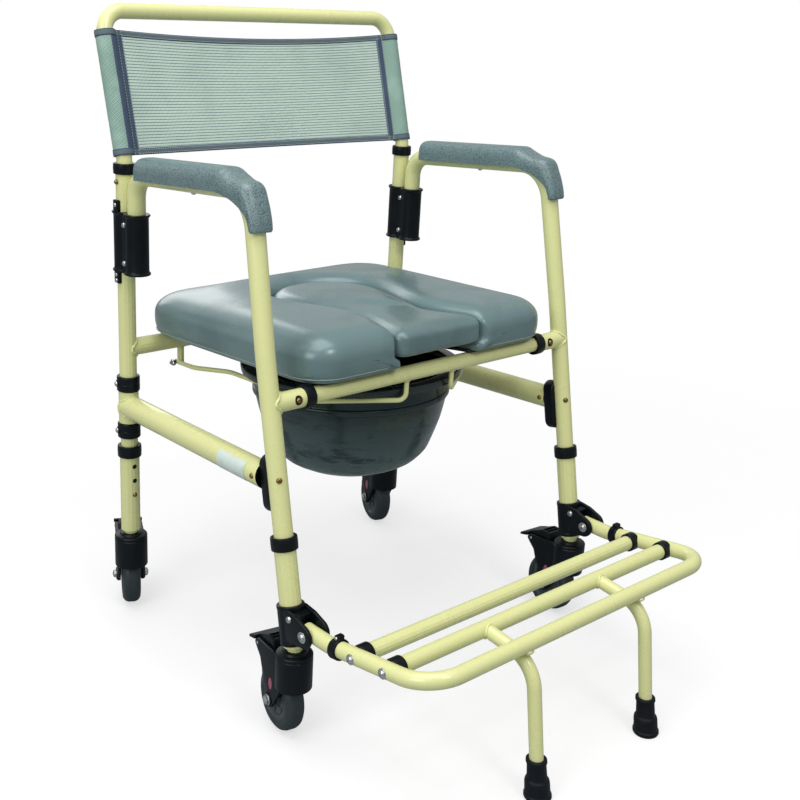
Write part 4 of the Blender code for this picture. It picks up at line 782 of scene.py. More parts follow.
def makeSaddles():
    radius = saddle["width"] / 2
    for name, side in sides.items():
        top = railLine(side)[-1] + saddle["above"]
        place, outline = leaning(side), []
        for middle, turn in ((top - radius, 0), (top - saddle["length"] + radius, pi)):
            outline += [place @ Vector((-side * saddle["inward"] + x, saddle["start"], middle + z))
                        for x, z in arc(radius, turn, turn + pi, 16)]
        depth = Vector((0, tube["post"] + rail["saddleThick"] - saddle["start"], 0))
        bm = plate(bmesh.new(), outline, place.to_3x3() @ depth, saddle["soften"], 4)
        finishPiece("railSaddle." + name, bm, black, "main_frame", "rail_saddle_" + name, sharp=50)


# Blank sticker on the outer side of the left rail
label = {"length": 0.056, "arc": radians(96.0), "along": 0.262, "lift": 0.00025, "thick": 0.0002}


def makeLabel():
    rear, _, way, _, _ = railLine(-1)
    middle = rear + way * label["along"]
    outward = Matrix.Rotation(-label["arc"] / 2, 3, way) @ Vector((-1, 0, 0))
    start = middle + outward * (tube["rail"] + label["lift"]) - way * label["length"] / 2
    bm = bmesh.new()
    verts = [bm.verts.new(start), bm.verts.new(start + way * label["length"])]
    bmesh.ops.spin(bm, geom=verts + [bm.edges.new(verts)], cent=middle, axis=way, steps=14, angle=label["arc"])
    bmesh.ops.recalc_face_normals(bm, faces=bm.faces)
    bmesh.ops.solidify(bm, geom=list(bm.faces), thickness=-label["thick"])
    finishPiece("railLabel", bm, labelVinyl, "main_frame")


# Arm brackets: two barrels with flared lips and a waist, moulded in one
bracket = {"low": 0.474, "height": 0.075, "wall": 0.0034, "waist": 0.0115, "lip": 0.0019}


def dogbone(x, radius, z, steps=20):
    start = asin(min(bracket["waist"] / radius, 1.0))
    outline = []
    for way, y in ((1, postY), (-1, armRearY)):
        for turn in ((pi - start) * (2 * i / steps - 1) for i in range(steps + 1)):
            outline.append(Vector((x + way * radius * sin(turn), y + way * radius * cos(turn), z)))
    return outline


def makeArmBrackets():
    low, top, body = bracket["low"], bracket["low"] + bracket["height"], tube["post"] + bracket["wall"]
    lip = body + bracket["lip"]
    end = [(body - 0.001, 0), (lip - 0.0006, 0), (lip, 0.0007), (lip, 0.0019), (lip - 0.0006, 0.0027),
           (body + 0.0004, 0.0036), (body, 0.0052), (body, 0.020)]  # radius and distance from an end
    levels = [(radius, low + away) for radius, away in end] + [(radius, top - away) for radius, away in reversed(end)]
    zincs, middle = kit("main_frame", "zinc"), (postY + armRearY) / 2 - 0.0012
    for name, side in sides.items():
        x = side * postX
        bm = loftRings(bmesh.new(), [dogbone(x, radius, z) for radius, z in levels])
        for z, height in ((top + 0.0055, 0.017), (low - 0.0060, 0.018)):  # screw tabs on the post's outer side
            block(bm, (0.0048, 0.0112, height), move(x + side * (tube["post"] + 0.0006), postY, z), 0.0014, 3)
        finishPiece("armBracket." + name, bm, black, "main_frame", "arm_bracket_" + name, sharp=45)
        for z in (low + 0.0125, top - 0.0150):
            for face in (1, -1):
                place = (x + face * (bracket["waist"] - 0.0004), middle, z)
                screwHead(zincs, facing(place, (face, 0, 0)), 0.0036, 0.0024)
        for z in (top + 0.0075, low - 0.0040, low - 0.0112):
            screwHead(zincs, facing((x + side * (tube["post"] + 0.0028), postY, z), (side, 0, 0)), 0.0027, 0.0018)


# Backrest: hoop and sling
back = {"bendZ": 0.611, "lean": radians(15.6), "bend": 0.040, "top": 0.781, "corner": 0.028, "insert": 0.105,
        "low": 0.0048, "seam": 0.0145, "wrap": 0.0112, "sag": 0.0072, "lift": 0.0010, "bow": 0.0035, "above": 0.005,
        "tape": 0.0078, "tapeThick": 0.0026, "bands": {"left": 0.0070, "right": 0.0100}, "shadeLap": 0.0175,
        "stitch": 0.0034, "netThick": 0.0009, "hems": {"top": 0.0037, "low": 0.0034}}
backPlace = move(0, postY, back["bendZ"]) @ Matrix.Rotation(-back["lean"], 4, "X")
slingTop = (back["top"] - back["bendZ"]) / cos(back["lean"]) - back["corner"] - 0.0005 + back["above"]
panelHalf = postX - back["seam"] - back["bands"]["left"] + 0.003
seamReach = sqrt(back["seam"] ** 2 - back["wrap"] ** 2)
seamTurn = pi - acos(back["wrap"] / back["seam"])
sleeveRound = 2 * seamReach + 2 * seamTurn * back["wrap"]


def makeHoop():
    rise = back["top"] - back["bendZ"]
    upright = [(postY, postTop - back["insert"]), (postY, back["bendZ"]),
               (postY + rise * tan(back["lean"]), back["top"])]
    spots = [(-postX, y, z) for y, z in upright] + [(postX, y, z) for y, z in reversed(upright)]
    path = roundPath(spots, [back["bend"], back["corner"], back["corner"], back["bend"]], radians(5))
    finishPiece("backHoop", sweepTube(bmesh.new(), path, tube["thin"], 36), steel, "backrest", "back_hoop")


def panelEdges(x):  # lowest and highest point of the net and how far it bows to the rear
    bulge = 1 - min((x / panelHalf) ** 2, 1.0)
    return back["low"] + back["lift"] * bulge, slingTop - back["sag"] * bulge, back["bow"] * bulge


def panelPoint(x, z, forward=0.0):
    return backPlace @ Vector((x, panelEdges(x)[2] - forward, z))


def panelShare(x, share):
    low, top, _ = panelEdges(x)
    return low + (top - low) * share


def sleeveSpot(run):  # a point of the teardrop at a length along it, x outward and y to the rear
    if seamReach < run < sleeveRound - seamReach:
        turn = (run - seamReach) / back["wrap"] - seamTurn
        return back["wrap"] * cos(turn), back["wrap"] * sin(turn)
    share = min(run, sleeveRound - run) / seamReach
    rear = 1 if run > sleeveRound / 2 else -1
    return (-back["seam"] + share * (back["seam"] + back["wrap"] * cos(seamTurn)),
            rear * share * back["wrap"] * sin(seamTurn) + rear * 0.0007 * (1 - share))


def clothPiece(name, columns, rows, place, finish, tidy=False):  # a sheet set by place(u, v), with its own UV in metres
    bm = bmesh.new()
    layer = bm.loops.layers.uv.new("cloth")
    made = bmesh.ops.create_grid(bm, x_segments=columns, y_segments=rows, size=0.5)
    spots = {}
    for vert in made["verts"]:
        vert.co, spots[vert] = place(vert.co.x + 0.5, vert.co.y + 0.5)
    for face in bm.faces:
        for loop in face.loops:
            loop[layer].uv = spots[loop.vert]
    return finishPiece(name, bm, finish, "backrest", sharp=0, tidy=tidy)


def thicken(piece, thickness):
    step = piece.modifiers.new("cloth", "SOLIDIFY")
    step.thickness, step.offset = thickness, 0.0
    return piece


def makeSling():
    low = back["low"]

    def netPlace(u, v):
        x = (2 * u - 1) * panelHalf
        return panelPoint(x, panelShare(x, v)), (x, v * 0.1395)
    net = clothPiece("slingNet", 110, 44, netPlace, netCloth)
    inset = back["tape"] / 2 - 0.0006
    lines = {"top": lambda x: panelEdges(x)[1] - inset, "low": lambda x: panelEdges(x)[0] + inset}
    for end, centre in lines.items():
        def tapePlace(u, v):
            x, turn = (2 * u - 1) * (panelHalf + 0.006), 2 * pi * v
            z = squared(sin(turn), 0.6) * back["tape"] / 2
            return panelPoint(x, centre(x) + z, squared(cos(turn), 0.6) * back["tapeThick"] / 2), (x, z)
        clothPiece("slingTape." + end, 110, 16, tapePlace, tapeCloth, tidy=True)
    for name, side in sides.items():
        def sleevePlace(u, v):
            x, y = sleeveSpot(u * sleeveRound)
            z = low - 0.0005 + (slingTop - low + 0.0005) * v
            pucker = 0.00045 * noise.noise(Vector((x * 60, z * 160, side * 3.0 + y * 60)))
            pucker *= min(1.0, abs(x + back["seam"]) / 0.010)
            point = Vector((side * (postX + x * (1 + pucker * 20)), y * (1 + pucker * 60), z))
            return backPlace @ point, (u * sleeveRound, z)

        def stripPlace(u, v):
            half = back["bands"][name] / 2 + 0.001
            across = squared(cos(2 * pi * u), 0.5) * half
            x = side * (postX - back["seam"] + 0.001 - half + across)
            return panelPoint(x, panelShare(x, v), squared(sin(2 * pi * u), 0.6) * 0.0011), (v * 0.14, across * 0.8)

        def shadeLapPlace(u, v):  # the strip's tail, sewn down on the front of the sleeve; its dark cloth is painted shade beside the tube
            x, y = sleeveSpot(0.0005 + u * back["shadeLap"])
            out = Vector((x, y)).normalized() * (0.0009 - 0.0004 * u)
            z = low + 0.003 + (slingTop - low - 0.007) * v
            return backPlace @ Vector((side * (postX + x + out.x), y + out.y, z)), (v * 0.14, u * back["shadeLap"])
        thicken(clothPiece("slingSleeve." + name, 96, 48, sleevePlace, sleeveCloth), 0.0010)
        clothPiece("slingStrip." + name, 32, 40, stripPlace, stripAndShadeCloth, tidy=True)
        # painted shade: only the left sleeve gets the dark lap
        if name == "left":
            thicken(clothPiece("slingShadeLap." + name, 16, 40, shadeLapPlace, stripAndShadeCloth), 0.0005)
        for end, level in (("top", slingTop - back["hems"]["top"]), ("low", low + back["hems"]["low"])):
            def hemPlace(u, v):  # folded edge round the mouth of the sleeve
                x, y = sleeveSpot(u * sleeveRound)
                out = Vector((x, y)).normalized() if abs(x) < back["wrap"] * 1.02 else Vector((0, copysign(1, y)))
                z = (v - 0.5) * 0.0078
                puff = 0.00065 + 0.0003 * cos(pi * (2 * v - 1) / 2)
                point = Vector((side * (postX + x + out.x * puff), y + out.y * puff, level + z))
                return backPlace @ point, (u * sleeveRound, z)
            thicken(clothPiece(f"slingHem.{name}.{end}", 72, 6, hemPlace, tapeCloth), 0.0007)
    finishPiece("slingStitches", sewSling(lines), stitchThread, "backrest", sharp=0)
    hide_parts("back_sling")
    thicken(net, back["netThick"])


def stitchDash(bm, place, way):
    half, radius = way.normalized() * 0.0011, 0.00038
    sweepTube(bm, [place - half, place, place + half], [radius * 0.5, radius, radius * 0.5], 6)


def sewSling(lines):  # stitches along both tapes and both strips, front and rear
    bm = bmesh.new()
    count = int(2 * panelHalf / back["stitch"])
    for x in ((2 * (i + 0.5) / count - 1) * (panelHalf - 0.003) for i in range(count)):
        for centre in lines.values():
            way = panelPoint(x + 0.001, centre(x + 0.001)) - panelPoint(x, centre(x))
            for lift in (-0.0023, 0.0023):
                for face in (1, -1):
                    stitchDash(bm, panelPoint(x, centre(x) + lift, face * (back["tapeThick"] / 2 + 0.00005)), way)
    up = backPlace.to_3x3() @ Vector((0, 0, 1))
    count = int((slingTop - back["low"]) / back["stitch"])
    for z in (back["low"] + (slingTop - back["low"]) * (i + 0.5) / count for i in range(count)):
        for name, side in sides.items():
            for run in (0.0012, back["bands"][name] - 0.0002):
                for face in (1, -1):
                    stitchDash(bm, panelPoint(side * (postX - back["seam"] - run), z, face * 0.00125), up)
    return bm


# Pan rails: bent wire from the hangers to the crossbar
pan = {"y": -0.172, "rim": 0.1440, "wall": 0.1258, "thick": 0.0026, "depth": 0.1370, "rimHigh": 0.0095,
       "rodX": 0.1305, "frontX": 0.038, "frontDrop": 0.034, "hangerThick": 0.004}


def rodHeight(y):
    front, rear = frontBarZ - pan["frontDrop"], rearBarZ - hanger["drop"]
    return rear + (front - rear) * (postY - y) / barRun


def makePanRails():
    beads = bmesh.new()
    for name, side in sides.items():
        eyeX = hanger["x"] + pan["hangerThick"] / 2 + tube["gap"] + tube["rod"]
        plan = [(eyeX, postY + 0.004), (eyeX, postY - 0.040), (pan["rodX"], postY - 0.085),
                (pan["rodX"], frontBarY + 0.067), (pan["frontX"], frontBarY)]
        spots = [(side * x, y, rodHeight(y)) for x, y in plan]
        spots.append((side * pan["frontX"], frontBarY, frontBarZ - tube["thin"] - 0.0001))
        bm = sweepTube(bmesh.new(), roundPath(spots, [0.030, 0.030, 0.030, 0.010]), tube["rod"], 20)
        finishPiece("panRail." + name, bm, steel, "main_frame", "pan_rail_" + name)
        weldBead(beads, branchLine((side * pan["frontX"], frontBarY, frontBarZ), (0, 0, -1), (1, 0, 0),
                                   tube["rod"] + 0.0003, tube["thin"], 24), 0.0011, side)
    finishPiece("railWelds", beads, steel, "main_frame")


# Commode pan: deep-drawn bowl with a step under its rolled rim
def makePan():
    y = postY + pan["y"]
    slope = atan2(rodHeight(frontBarY) - rodHeight(postY), barRun)
    rest = rodHeight(y) + tube["rod"] / cos(slope) + tube["gap"]
    wall, skin, rim, top, low = pan["wall"], pan["thick"], pan["rim"], pan["rimHigh"], -pan["depth"]
    inside = [(0, skin + low), (wall - 0.0655, low + 0.0100), (wall - 0.0390, low + 0.0215),
              (wall - 0.0246, low + 0.0350), (wall - 0.0140, low + 0.0600), (wall - 0.0085, low + 0.0770),
              (wall - skin, -0.0315), (wall - skin + 0.0005, top - 0.002), (wall + 0.0035, top)]
    outside = [(rim - 0.0012, top), (rim, top - 0.0022), (rim - 0.0010, 0.0), (wall + 0.0008, 0.0),
               (wall + 0.0005, -0.0200), (wall + 0.0030, -0.0213), (wall + 0.0030, -0.0277), (wall, -0.0292),
               (wall - 0.0040, low + 0.0900), (wall - 0.0075, low + 0.0765), (wall - 0.0135, low + 0.0595),
               (wall - 0.0235, low + 0.0345), (wall - 0.0375, low + 0.0200), (wall - 0.0655, low + 0.0060), (0, low)]
    radii = [0.06, 0.03, 0.03, 0.05, 0.05, 0.03, 0.004, 0.0035, 0.0012, 0.0018, 0.0008, 0.0015, 0.0012, 0.0015, 0.0015,
             0.0015, 0.05, 0.05, 0.05, 0.03, 0.03, 0.06]
    place = move(0, y, rest) @ Matrix.Rotation(-slope, 4, "X")
    bm = turnProfile(bmesh.new(), softProfile(inside + outside, radii), place, 112)
    finishPiece("commodePan", bm, panPlastic, "pan", "commode_pan", sharp=50)


# Casters
caster = {"wheel": 0.040, "half": 0.012, "trail": 0.027, "barrel": 0.0215, "low": 0.068, "top": 0.1155, "cap": 0.0135,
          "inside": 0.01375, "cheek": 0.0045, "boss": 0.010, "pinY": 0.058, "pinZ": 0.0985, "tip": 0.080,
          "tipHalf": 0.019, "webs": 6, "roomRadius": 0.043}
sideways = Matrix.Rotation(pi / 2, 4, "Y")


def casterPlace(corner):
    hub = joints["caster_swivel_" + corner]
    way = joints["wheel_spin_" + corner] - hub
    return move(hub.x, hub.y) @ Matrix.Rotation(atan2(-way.x, way.y), 4, "Z")


def cheekOutline():
    trail, axleZ, pinY, pinZ = caster["trail"], caster["wheel"], caster["pinY"], caster["pinZ"]
    outline = [(0.0, caster["top"] - 0.0090), (caster["barrel"] - 0.003, caster["top"] - 0.0075),
               (pinY + 0.002, pinZ + 0.0050), (pinY + 0.0065, pinZ + 0.0020), (pinY + 0.0075, pinZ - 0.0020),
               (pinY + 0.0030, pinZ - 0.0065), (pinY - 0.0070, pinZ - 0.0150), (trail + 0.0190, axleZ + 0.0310),
               (trail + 0.0165, axleZ + 0.0170)]
    outline += [(trail + y, axleZ + z) for y, z in arc(caster["boss"], radians(18), radians(-162), 12)]
    outline += [(0.007, axleZ + 0.013), (0.0, caster["low"] - 0.0035), (0.0, caster["low"] + 0.004)]
    return softLoop(outline, 0.004, 3)


def oval(bm, place, long, wide, thick):  # a low raised oval
    turnProfile(bm, [(0, thick), (0.7, thick), (0.92, thick * 0.75), (1.0, 0), (0.95, -thick), (0, -thick)],
                place @ Matrix.Diagonal((long, wide, 1, 1)), 24)


def makeFork(corner, place):
    barrel, top, low, cap, inside = (caster[key] for key in ("barrel", "top", "low", "cap", "inside"))
    groove, reach, body = top - 0.0070, inside + caster["cheek"], "caster_" + corner
    profile = [(0, low), (barrel, low), (barrel, groove - 0.0012), (barrel - 0.0014, groove),
               (barrel, groove + 0.0012), (barrel, top - 0.0030), (cap + 0.0012, top - 0.0022), (cap, top), (0, top)]
    profile = softProfile(profile, [0.001, 0.0006, 0.0008, 0.0006, 0.0022, 0.0015, 0.0012])
    bm = turnProfile(bmesh.new(), profile, steps=64)
    wide = caster["roomRadius"]
    bm = carve(bm, turnProfile(bmesh.new(), [(0, -inside), (wide, -inside), (wide, inside), (0, inside)],
                               move(0, caster["trail"], caster["wheel"]) @ sideways, 72))
    outline = cheekOutline()
    boss = softProfile([(0, 0.0012), (0.0088, 0.0012), (0.0088, -0.002), (0, -0.002)], [0.0008, 0])
    for side in (-1, 1):
        sidePlate(bm, outline, (side * inside, side * reach), 0.0010)
        turnProfile(bm, boss, facing((side * reach, caster["trail"], caster["wheel"]), (side, 0, 0)), 32)
    bmesh.ops.transform(bm, matrix=place, verts=bm.verts)
    finishPiece("casterFork." + corner, bm, black, body, "caster_fork_" + corner, sharp=38)
    fittings = kit(body, "zinc")
    for side in (-1, 1):
        axle = place @ facing((side * (reach + 0.0012), caster["trail"], caster["wheel"]), (side, 0, 0), 0.3)
        washer(fittings, axle, 0.0066, 0.0006)
        hexHead(fittings, axle, 0.0056, 0.0036, domed=True)
        turnProfile(fittings, [(0, 0.0011), (0.0014, 0.0010), (0.0021, 0.0004), (0.0022, -0.001), (0, -0.001)],
                    place @ facing((side * (reach - 0.0002), caster["pinY"], caster["pinZ"]), (side, 0, 0)), 20)
        # moulded ovals on the outer face of a cheek
        oval(kit(body, "rose"), place @ facing((side * reach, 0.023, 0.063), (side, 0, 0)), 0.0042, 0.0075, 0.0004)
        oval(kit(body, "pale"), place @ facing((side * reach, 0.042, 0.059), (side, 0, 0)), 0.0024, 0.0066, 0.0003)


def makeWheel(corner, place):
    axle = place @ move(0, caster["trail"], caster["wheel"]) @ sideways
    half, radius, body = caster["half"], caster["wheel"], "wheel_" + corner
    tyre = [(0.0262, 0), (0.0268, 0.0016 - half), (0.0285, 0.0004 - half), (radius - 0.006, 0.0004 - half),
            (radius - 0.0016, 0.0034 - half), (radius, 0.0075 - half)]
    tyre += [(r, -h) for r, h in reversed(tyre[1:])] + tyre[:1]
    rounds = [0, 0.0015, 0.002, 0.004, 0.004, 0.004, 0.004, 0.004, 0.004, 0.002, 0.0015]
    bm = turnProfile(bmesh.new(), softProfile(tyre, rounds), axle, 88)
    finishPiece("casterTyre." + corner, bm, tyreRubber, body, "caster_wheel_" + corner)
    face = [(0.0046, 0), (0.0046, 0.0004 - half), (0.0098, 0.0004 - half), (0.0106, 0.0030 - half),
            (0.0190, 0.0030 - half), (0.0195, 0.0040 - half), (0.0203, 0.0040 - half), (0.0208, 0.0030 - half),
            (0.0258, 0.0026 - half), (0.0268, 0.0014 - half), (0.0275, 0.0030 - half), (0.0272, 0)]
    bm = turnProfile(bmesh.new(), face + [(r, -h) for r, h in reversed(face[:-1])], axle, 64)
    for i in range(caster["webs"]):
        web = axle @ Matrix.Rotation(2 * pi * i / caster["webs"], 4, "Z") @ move(0.0148, 0)
        block(bm, (0.0084, 0.0016, 2 * (half - 0.0018)), web, 0.0004, 1)
    finishPiece("casterHub." + corner, bm, hubPlastic, body)


def makePedal(corner, place):
    pinY, pinZ, half, tip = caster["pinY"], caster["pinZ"], caster["inside"] - 0.0005, caster["tip"]
    front, shoe = caster["barrel"] + 0.0012, 2 * caster["wheel"] + 0.0035
    crest = [(front + 0.0035, pinZ + 0.0130), (front + 0.006, pinZ + 0.0165)]
    rest = [(front + 0.020, pinZ + 0.0175), (pinY + 0.003, pinZ + 0.0090), (pinY + 0.010, pinZ + 0.0045),
            (pinY + 0.006, pinZ - 0.0040), (pinY - 0.004, pinZ - 0.0050), (pinY - 0.016, pinZ - 0.0015),
            (front + 0.012, pinZ - 0.0040), (front + 0.010, shoe), (front + 0.001, shoe), (front, shoe + 0.005),
            (front, pinZ + 0.0060)]
    notch = ((0, 0.0170), (0.0005, 0.0128), (0.0030, 0.0128), (0.0035, 0.0170))
    notches = [(y + along, pinZ + up) for y in (front + 0.0105, front + 0.0165) for along, up in notch]
    bm = sidePlate(bmesh.new(), softLoop(crest + notches + rest, 0.0016, 2), (0.0032 - half, half - 0.0032))
    edge = softLoop(crest + rest, 0.0028, 3)
    for side in (-1, 1):
        sidePlate(bm, edge, (side * (half - 0.0033), side * half), 0.0008)
    lip = [(pinY + 0.0060, pinZ + 0.0072), (tip - 0.001, pinZ + 0.0010), (tip, pinZ - 0.0030),
           (pinY + 0.0070, pinZ + 0.0010)]
    sidePlate(bm, softLoop(lip, 0.0020, 3), (-caster["tipHalf"], caster["tipHalf"]), 0.0009)
    bmesh.ops.transform(bm, matrix=place, verts=bm.verts)
    finishPiece("brakePedal." + corner, bm, black, "pedal_" + corner, "brake_pedal_" + corner, sharp=38)


def makeCasters():
    for corner in corners:
        place = casterPlace(corner)
        makeFork(corner, place)
        makeWheel(corner, place)
        makePedal(corner, place)


# Footrest
foot = {"forward": 0.036, "flat": 0.030, "rise": radians(8.6), "reach": 0.185, "corner": 0.042, "start": -0.009,
        "slats": (0.075, 0.125), "supportX": 0.098, "ahead": 0.0127, "lean": radians(9.0), "bend": 0.040,
        "tipHigh": 0.046, "tipRadius": 0.0158, "low": 0.130, "high": 0.170, "wall": 0.0033, "earIn": 0.0101,
        "earThick": 0.0048, "earRadius": 0.0135, "clipReach": 0.045, "webY": 0.0235, "webZ": 0.0115, "tubeEnd": 0.012}


def riseHeight(reach):
    return pivotZ + max(0.0, reach - foot["flat"]) * tan(foot["rise"])


supportTop = riseHeight(foot["reach"]) - tube["thin"] - tube["support"] - tube["gap"]


def frameSpot(side, reach):
    return Vector((side * legX, pivotY - reach, riseHeight(reach)))


def makeFootFrame():
    reaches = (foot["start"], foot["flat"], foot["reach"])
    spots = [frameSpot(-1, reach) for reach in reaches] + [frameSpot(1, reach) for reach in reversed(reaches)]
    path = roundPath(spots, [0.060, foot["corner"], foot["corner"], 0.060], radians(5))
    finishPiece("footFrame", sweepTube(bmesh.new(), path, tube["thin"], 36), steel, "footrest", "footrest_frame")
    blacks, zincs, thin = kit("footrest", "black"), kit("footrest", "zinc"), tube["thin"]
    cap = softProfile([(0.0099, 0.0045), (0.0118, 0.0045), (0.0118, 0.0165), (0.0099, 0.0180)], [0.0005, 0.0009])
    clip = [(thin + 0.0001, -0.0055), (0.0122, -0.0055), (0.0122, 0.0055), (thin + 0.0001, 0.0055)]
    for side in sides.values():
        for reach in foot["slats"]:  # cap between a slat and its side tube, and the slat's screw
            spot = frameSpot(side, reach)
            turnProfile(blacks, cap, inward(*spot, side), 40)
            screw = facing(spot + Vector((side * (thin - 0.0002), 0, 0)), (side, 0, 0))
            washer(zincs, screw, 0.0060, 0.0008)
            screwHead(zincs, screw @ move(0, 0, 0.0006), 0.0042, 0.0026)
        # ring clip
        spot = frameSpot(side, foot["clipReach"])
        way = (0, -cos(foot["rise"]), sin(foot["rise"]))
        turnProfile(blacks, softProfile(clip, [0.0012, 0.0012]), facing(spot, way), 44)
        tab = spot + Vector((-side * 0.001, 0.0005, 0.0128))
        block(blacks, (0.0100, 0.0072, 0.0075), Matrix.Translation(tab), 0.0016, 3)
        screwHead(zincs, facing(spot + Vector((side * 0.0040, 0.0005, 0.0135)), (side, 0, 0.1)), 0.0022, 0.0014)


def supportCorners(side):
    x, end = side * foot["supportX"], foot["tubeEnd"]
    slat = Vector((x, pivotY - foot["slats"][1], riseHeight(foot["slats"][1])))
    under, lean = Vector((x, pivotY - foot["reach"] - foot["ahead"], supportTop)), tan(foot["lean"])
    return slat, under, Vector((x, under.y - (supportTop - end) * lean, end)), under.y - supportTop * lean


def makeLadder():
    reach, half, thin = foot["slats"][1], legX - tube["thin"] - tube["gap"], tube["thin"]
    y, z = pivotY - reach, riseHeight(reach)
    bm = sweepTube(bmesh.new(), [Vector((-half, y, z)), Vector((half, y, z))], thin, 36)
    for side in sides.values():
        slat, under, end, _ = supportCorners(side)
        sweepTube(bm, roundPath([slat, under, end], [foot["bend"]]), tube["support"], 32)
        weldBead(bm, branchLine(slat, under - slat, (1, 0, 0), tube["support"] + 0.0003, thin), 0.0014, side * 2)
        # welds where the tie runs under the front tube
        bar = Vector((slat.x, pivotY - foot["reach"], riseHeight(foot["reach"])))
        for shift in (-1, 1):
            weldBead(bm, [bar + Vector((4 * x, shift * 0.0066 + y, 0.0022 - thin + y))
                          for x, y in arc(0.0012, 0, 2 * pi, 16)[:-1]], 0.0011, side + shift)
    finishPiece("footLadder", bm, steel, "footrest", "footrest_ladder")
    bore = (tube["support"] + 0.0001) / cos(foot["lean"])
    neck, wide, high, inner = tube["support"] + 0.0034, foot["tipRadius"], foot["tipHigh"], foot["tubeEnd"] - 0.004
    profile = [(0, 0.0006), (0.006, 0.0006), (0.0066, 0), (wide - 0.0012, 0), (wide, 0.0022), (wide - 0.0002, 0.0052),
               (wide - 0.0014, 0.0062), (wide - 0.0016, 0.0180), (neck + 0.0022, 0.0215), (neck, 0.0235),
               (neck - 0.0006, high - 0.0050), (neck + 0.0006, high - 0.0040), (neck + 0.0004, high - 0.0008),
               (neck - 0.0006, high), (bore, high), (bore, inner), (0, inner)]
    radii = [0, 0, 0.001, 0.0012, 0.0008, 0.0008, 0.0035, 0.002, 0.002, 0.0005, 0.0008, 0.0006, 0.0006, 0.0004, 0]
    shear = Matrix.Identity(4)
    shear[1][2] = tan(foot["lean"])
    for name, side in sides.items():
        place = move(side * foot["supportX"], supportCorners(side)[-1]) @ shear
        bm = turnProfile(bmesh.new(), softProfile(profile, radii), place, 56)
        finishPiece("footTip." + name, bm, tipRubber, "footrest", "foot_tip_" + name, sharp=45)


def makeFootBrackets():
    low, high = ((level - tube["casterTop"]) / cos(tube["lean"]) for level in (foot["low"] - 0.006, foot["high"]))
    outer, bore, slope = tube["lower"] + foot["wall"], tube["lower"] + 0.0001, tan(tube["lean"])
    profile = [(bore, low), (outer, low), (outer, low + 0.004), (outer - 0.0004, low + 0.005),
               (outer - 0.0004, high - 0.005), (outer, high - 0.004), (outer, high), (bore, high)]
    profile = softProfile(profile, [0.0012, 0.0004, 0.0006, 0.0006, 0.0004, 0.0012])
    legY = pivotY + foot["forward"]
    topY, lowY = legY + slope * (foot["high"] - pivotZ), legY - slope * (pivotZ - foot["low"])
    outline = [(topY + 0.001, foot["high"] - 0.001), (topY - 0.012, foot["high"]), (pivotY + 0.012, pivotZ + 0.0185)]
    outline += [(pivotY - y, pivotZ + z) for y, z in arc(foot["earRadius"], radians(75), radians(-90), 11)]
    outline = softLoop(outline + [(lowY - 0.006, foot["low"] + 0.0015), (lowY + 0.001, foot["low"] + 0.0015)], 0.003, 3)
    ear, reach = foot["earIn"], foot["earIn"] + foot["earThick"]
    for name, side in sides.items():
        x, body = side * legX, "leg_extension_front_" + name
        bm = turnProfile(bmesh.new(), profile, leaning(side), 60)
        for face in (1, -1):
            sidePlate(bm, outline, (x + face * ear, x + face * reach), 0.0013, 3)
        block(bm, (2 * ear + 0.002, 0.018, 0.011), move(x, pivotY + foot["webY"], pivotZ + foot["webZ"]), 0.001, 2)
        finishPiece("footBracket." + name, bm, black, body, "footrest_bracket_" + name, sharp=45)
        zincs = kit(body, "zinc")
        for face in (1, -1):
            pivot = facing((x + face * (reach - 0.0002), pivotY, pivotZ), (face, 0, 0))
            washer(zincs, pivot, 0.0066, 0.0009)
            screwHead(zincs, pivot @ move(0, 0, 0.0006), 0.0046, 0.0028)
            upper = (x + face * (reach - 0.0002), pivotY + foot["webY"], pivotZ + foot["webZ"])
            screwHead(zincs, facing(upper, (face, 0, 0)), 0.0042, 0.0026)
        disc(zincs, facing((x, pivotY, pivotZ), (1, 0, 0)), 0.003, 0.0135, -0.0135, 20)


# Arm pads: moulded foam over the top of the arm, running down its front bend
padLook = {"rearInset": 0.027, "tipZ": 0.573, "base": -0.002, "height": 0.0252, "ends": (8, 28, 48, 66, 80),
           "bend": (0.0, 0.10, 0.22, 0.33, 0.42, 0.51, 0.62, 0.80, 1.0),
           "out": (-0.0006, -0.0056, -0.0074, -0.0070, -0.0022, 0.0010, -0.0036, -0.0068, -0.0081),
           "half": (0.0216, 0.0214, 0.0208, 0.0200, 0.0190, 0.0180, 0.0168, 0.0150, 0.0140),
           "skirt": (0.0005, 0.0013, 0.0010, 0.0002, -0.0012, -0.0025, -0.0045, -0.0095, -0.0105)}


def padShape(key, share):  # the values given along the bend, joined and then rounded off
    bend, values, total = padLook["bend"], padLook[key], 0.0
    for shift in (-0.05, -0.03, -0.01, 0.01, 0.03, 0.05):
        spot = between(share + shift)
        i = max(j for j in range(len(bend) - 1) if bend[j] <= spot)
        total += values[i] + (values[i + 1] - values[i]) * (spot - bend[i]) / (bend[i + 1] - bend[i])
    return total / 6


def padStations(side):  # frame, length from the rear end, length left, and the width, height and skirt there
    front, rear = armCorners(side)
    start = rear + (front - rear).normalized() * padLook["rearInset"]
    knee = legPoints(side)[1]
    tip = front.lerp(knee, (front.z - padLook["tipZ"]) / (front.z - knee.z))
    bent = roundPath([start, front, tip], [arm["frontBend"]], radians(2.5))
    points = []
    for before, after in zip(bent, bent[1:]):
        count = max(1, round((after - before).length / 0.004))
        points += [before.lerp(after, i / count) for i in range(count)]
    points.append(bent[-1])
    total = sum((after - before).length for before, after in zip(points, points[1:]))
    bend = pi / 2 - tube["lean"] + atan2(arm["rise"], 1)
    stations, run = [], 0.0
    for index, turned in enumerate(pathFrames(points)):
        if index:
            run += (points[index] - points[index - 1]).length
        share = between(Vector((0, -1, arm["rise"])).angle(turned.col[2].xyz) / bend)
        stations.append((turned, run, total - run, padShape("half", share), padLook["height"] + padShape("out", share),
                         padShape("skirt", share)))
    return stations


